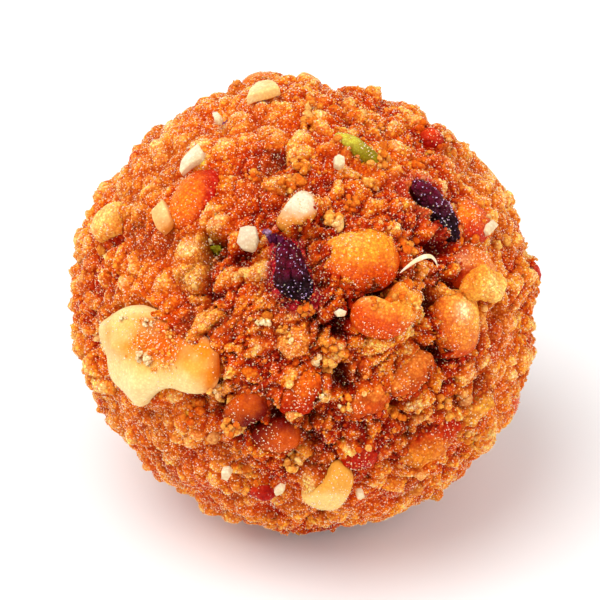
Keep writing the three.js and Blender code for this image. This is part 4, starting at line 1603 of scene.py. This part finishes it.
def make_grains():
    """Sugar grains of each kind all over, partly sugar and partly painted glints, fewer on kernels, fewer
    still on raisins, and on the large cashew piece most in its syrup. The crumb's own colour is turned
    towards sugar, less where the crumb is craggy or low."""
    for step, (name, (count, least, spread, pale, warm, on_nuts)) in enumerate(GRAIN_KINDS.items()):
        salt = GRAIN_SEED + SEED_STEP * step
        spots = over_kernels(crumb_surface(strewn(count, STREWN_JOG, salt)))
        stays = np.where(spots["bare"], on_nuts, 1.0)
        stays = np.where(on_bare(spots, RAISINS), 0.5 * stays, stays)
        stays = np.where(on_bare(spots, BROAD), 0.15 + 1.2 * syrup_on_cashew(raised(spots, 0.0)), stays)
        spots = chosen(spots, above_floor(spots, 0.3) & (draws(count, salt + 3) < stays))
        kept = len(spots["reach"])
        half = least + spread * draws(kept, salt + 4) ** 2
        sugar = pick([warm, pale], draws(kept, salt + 5))
        sugary = 0.8 - 0.4 * spots["crag"] + (0.2 + 0.4 * spots["crag"]) * draws(kept, salt + 16)
        sugary = sugary * (0.7 + 0.3 * ease(0.2, 0.6, spots["stand"]))
        sugary = np.where(spots["bare"], 0.9, sugary)
        tints = turned(crumb_tint(spots, 0.15), sugary, sugar)
        tints = np.where(on_bare(spots, RAISINS)[:, None], LILAC_SUGAR_GLINT, tints)
        strew(name, GRAIN_BODY, raised(spots, 0.1 * half), half, tints, grain_finish, salt + 6, smooth=False)


make_golden_block()
make_golden_crumbs()
make_bits()
make_clumps()
make_lapping_crumbs()
make_granules()
make_grains()

# Nut flakes on the best side, each by its outline in picture pixels, its thickness in millimetres and its
# # colours in painted shade and painted light
CREAM = (paint(224, 192, 140), paint(244, 228, 196))
PEARL = (paint(204, 172, 130), paint(230, 210, 180))
YELLOW = (paint(240, 184, 80), paint(252, 232, 176))
TAN = (paint(206, 112, 20), paint(246, 206, 134))
FLAKES = [
    ([
        (199, 145), (204, 153), (202, 160), (190, 167), (182, 175), (180, 172), (182, 163), (187, 156),
    ], 1.0, CREAM),
    ([
        (164, 201), (169, 211), (173, 221), (170, 228), (164, 234), (158, 229), (154, 218), (153, 211),
    ], 1.2, TAN),
    ([
        (241, 228), (248, 226), (256, 227), (258, 240), (256, 249), (252, 252), (242, 249), (237, 243),
    ], 1.2, PEARL),
    ([
        (247, 101), (250, 93), (257, 86), (270, 83), (277, 86), (280, 91), (271, 94), (259, 97), (251, 99),
    ], 1.4, YELLOW),
    ([(490, 220), (496, 226), (492, 231), (487, 236), (483, 231), (484, 225)], 1.0, CREAM),
    ([(334, 158), (339, 156), (344, 159), (344, 165), (339, 168), (334, 166)], 1.2, CREAM),
    ([(213, 115), (218, 114), (222, 118), (220, 123), (215, 122)], 1.0, CREAM),
    ([(222, 469), (228, 468), (232, 473), (228, 479), (222, 476)], 1.2, CREAM),
    ([(274, 490), (280, 485), (285, 487), (283, 491), (276, 494)], 1.0, CREAM),
    ([(357, 491), (362, 490), (364, 495), (360, 498), (356, 496)], 1.0, CREAM),
    ([(334, 312), (339, 308), (346, 311), (344, 316), (337, 317)], 1.2, CREAM),
]
# Noises of the flakes, each by its spacing in millimetres and its seed
FLAKE_WARP = (0.9, 400)
FLAKE_TONES = (1.3, 401)
# How high a flake lies above the ball, how high its copy lies above the crumb of the far side, and the
# reach from the nearest kernel that the copy needs, where 1 is the kernel's edge
FLAKE_LEVEL = 0.75
FAR_FLAKE_LEVEL = 0.3
FAR_FLAKE_REACH = 1.4


def flake_copies(flake, placed):
    """A flake where the best side has it, and its copy on the far side if that is hidden from the best
    side, free of kernels and clear of the floor."""
    spot = crumb_surface(far_side(unit(flake["middle"][None])))
    outward = spot["directions"][0]
    far = far_side(placed) + outward * (spot["radius"][0] + FAR_FLAKE_LEVEL - flake["radius"])
    free = spot["reach"][0] > FAR_FLAKE_REACH and outward @ OUT < -HIDDEN
    return [placed, far] if free and far[:, 2].min() > 1 - CENTRE_HEIGHT else [placed]


def make_flakes():
    """Crisp slips of nut, each with painted light towards its upper left and painted shade towards its
    lower right.
    """
    points, tints, faces = [], [], []
    for pixels, thick, paints in FLAKES:
        flake = laid_slip(pixels, FLAKE_LEVEL, thick, squareness=6.0, rounding=0)
        placed = slip_points(flake)
        placed = placed + 0.06 * drift_vectors(placed, *FLAKE_WARP)
        # Painted light towards the upper left, painted shade towards the lower right
        lit = unit(placed - flake["middle"]) @ unit(0.6 * UP - 0.5 * RIGHT)
        tint = pick(paints, np.clip(0.5 + 0.4 * lit + 0.3 * drift(placed, *FLAKE_TONES), 0.0, 1.0))
        for copy in flake_copies(flake, placed):
            faces.append(slip_faces(flake) + sum(map(len, points)))
            points.append(copy)
            tints.append(tint)
    joined = [np.concatenate(parts) for parts in (points, faces, tints)]
    make_piece("nut_flakes", *joined, flake_finish)


make_flakes()

# A curled sliver of coconut, by its line in picture pixels, with its height above the ball and half width
SLIVER = np.array([
    (397, 274, 0.6, 0.05), (402, 269, 1.0, 0.16), (409, 263, 1.5, 0.26), (417, 259, 1.8, 0.3),
    (423, 259, 1.9, 0.24), (428, 263, 1.7, 0.16), (432, 269, 1.2, 0.05),
])
SLIVER_STEPS = 40
SLIVER_SIDES = 10
SLIVER_ROUNDING = 6
SLIVER_FLATNESS = 0.45
SLIVER_PAINTS = [paint(246, 214, 156), paint(252, 238, 214)]
SLIVER_TONES = (0.8, 402)


def make_sliver():
    """A flat strip drawn along a smooth line: the line is read between its corners and rounded, and an
    oval is carried along it, wide across the line and thin outwards, closing to a point at both ends."""
    knots = np.linspace(0, 1, len(SLIVER))
    along = np.linspace(0, 1, SLIVER_STEPS)
    line = np.stack([np.interp(along, knots, SLIVER[:, column]) for column in range(4)], axis=-1)
    for _ in range(SLIVER_ROUNDING):
        line[1:-1] = 0.5 * line[1:-1] + 0.25 * (line[:-2] + line[2:])
    outward = seen(*spot_of(line[:, :2]))
    middle = outward * (BALL_RADIUS + line[:, 2:3])
    forward = unit(np.gradient(middle, axis=0))
    across = unit(np.cross(outward, forward))
    above = np.cross(forward, across)
    turn = np.linspace(0, 2 * math.pi, SLIVER_SIDES, endpoint=False)
    half = line[1:-1, 3][:, None, None]
    rings = middle[1:-1, None] + half * np.cos(turn)[None, :, None] * across[1:-1, None]
    rings = rings + SLIVER_FLATNESS * half * np.sin(turn)[None, :, None] * above[1:-1, None]
    points = np.concatenate([middle[:1], rings.reshape(-1, 3), middle[-1:]])
    tints = pick(SLIVER_PAINTS, 0.5 + 0.5 * drift(points, *SLIVER_TONES))
    faces = grid_faces(SLIVER_STEPS, SLIVER_SIDES)
    make_piece("coconut_sliver", points, faces, tints, flake_finish)


make_sliver()


# The floor: half its side in metres, its two pale shades, how many clouds there are in a metre, and its
# faint glow
FLOOR_HALF = 2.0
FLOOR_SHADES = ((0.86, 0.86, 0.855, 1.0), (0.89, 0.89, 0.89, 1.0))
FLOOR_CLOUDS = 12.0
FLOOR_GLOW = 0.07
WHITE = (1.0, 1.0, 1.0, 1.0)


def make_floor():
    """A plain pale floor: one large square, faintly clouded and faintly glowing, so that it is white in
    the light; the glow is painted light that lifts its shadow and lights the ball from below."""
    corners = [(x * FLOOR_HALF, y * FLOOR_HALF, 0) for x, y in ((-1, -1), (1, -1), (1, 1), (-1, 1))]
    mesh = bpy.data.meshes.new("floor")
    mesh.from_pydata(corners, [], [(0, 1, 2, 3)])
    floor = bpy.data.objects.new("floor", mesh)
    bpy.context.scene.collection.objects.link(floor)
    material = bpy.data.materials.new("pale_floor")
    material.use_nodes = True
    tree = material.node_tree
    shader = tree.nodes["Principled BSDF"]
    cloud = tree.nodes.new("ShaderNodeTexNoise")
    cloud.inputs["Scale"].default_value = FLOOR_CLOUDS
    tree.links.new(tree.nodes.new("ShaderNodeTexCoord").outputs["Object"], cloud.inputs["Vector"])
    tree.links.new(blend(tree, "MIX", cloud.outputs["Fac"], *FLOOR_SHADES), shader.inputs["Base Color"])
    shader.inputs["Roughness"].default_value = 0.8
    shader.inputs["Specular IOR Level"].default_value = 0.1
    shader.inputs["Emission Color"].default_value = WHITE
    shader.inputs["Emission Strength"].default_value = FLOOR_GLOW
    mesh.materials.append(material)


def make_sun(name, towards, strength, spread):
    """A soft sun: towards points at it, and spread is how wide it looks in degrees."""
    light = bpy.data.lights.new(name, "SUN")
    light.energy = strength
    light.angle = math.radians(spread)
    lamp = bpy.data.objects.new(name, light)
    lamp.rotation_mode = "QUATERNION"
    lamp.rotation_quaternion = Vector(towards).to_track_quat("Z", "Y")
    bpy.context.scene.collection.objects.link(lamp)


SENSOR_WIDTH = 36.0
CLIP_START = 0.01
CLIP_END = 20.0


def make_camera():
    """A long lens looking at the best side, aimed so that the ball's middle falls where the picture has
    it."""
    camera = bpy.data.cameras.new("camera")
    camera.sensor_width = SENSOR_WIDTH
    camera.lens = camera.sensor_width * SIGHT_DISTANCE / (PICTURE_SIDE * MM_IN_PIXEL)
    camera.clip_start = CLIP_START
    camera.clip_end = CLIP_END
    right_px = BALL_IN_PICTURE[0] - PICTURE_SIDE / 2
    down_px = BALL_IN_PICTURE[1] - PICTURE_SIDE / 2
    aim = BALL_MIDDLE - RIGHT * right_px * MM_IN_PIXEL + UP * down_px * MM_IN_PIXEL
    holder = bpy.data.objects.new("camera", camera)
    holder.location = (aim + OUT * SIGHT_DISTANCE) * METRE
    holder.rotation_mode = "QUATERNION"
    holder.rotation_quaternion = Vector(OUT).to_track_quat("Z", "Y")
    bpy.context.scene.collection.objects.link(holder)
    bpy.context.scene.camera = holder


ROOM_STRENGTH = 0.58
# Each sun: which way it stands from the ball, its strength, and how wide it looks in degrees
SUNS = {
    "key_light": (-0.38 * RIGHT + 0.6 * UP + 0.67 * OUT, 2.4, 50),
    "side_light": (0.8 * RIGHT + 0.15 * UP + 0.55 * OUT, 1.0, 60),
}


def make_light():
    """A pale room, a key sun from the upper left of the best side and a weaker one from its right."""
    world = bpy.data.worlds.new("studio")
    world.use_nodes = True
    background = world.node_tree.nodes["Background"]
    background.inputs["Color"].default_value = WHITE
    background.inputs["Strength"].default_value = ROOM_STRENGTH
    bpy.context.scene.world = world
    for name, sun in SUNS.items():
        make_sun(name, *sun)
    bpy.context.scene.view_settings.view_transform = "Standard"
    bpy.context.scene.view_settings.look = "None"


make_floor()
make_camera()
make_light()
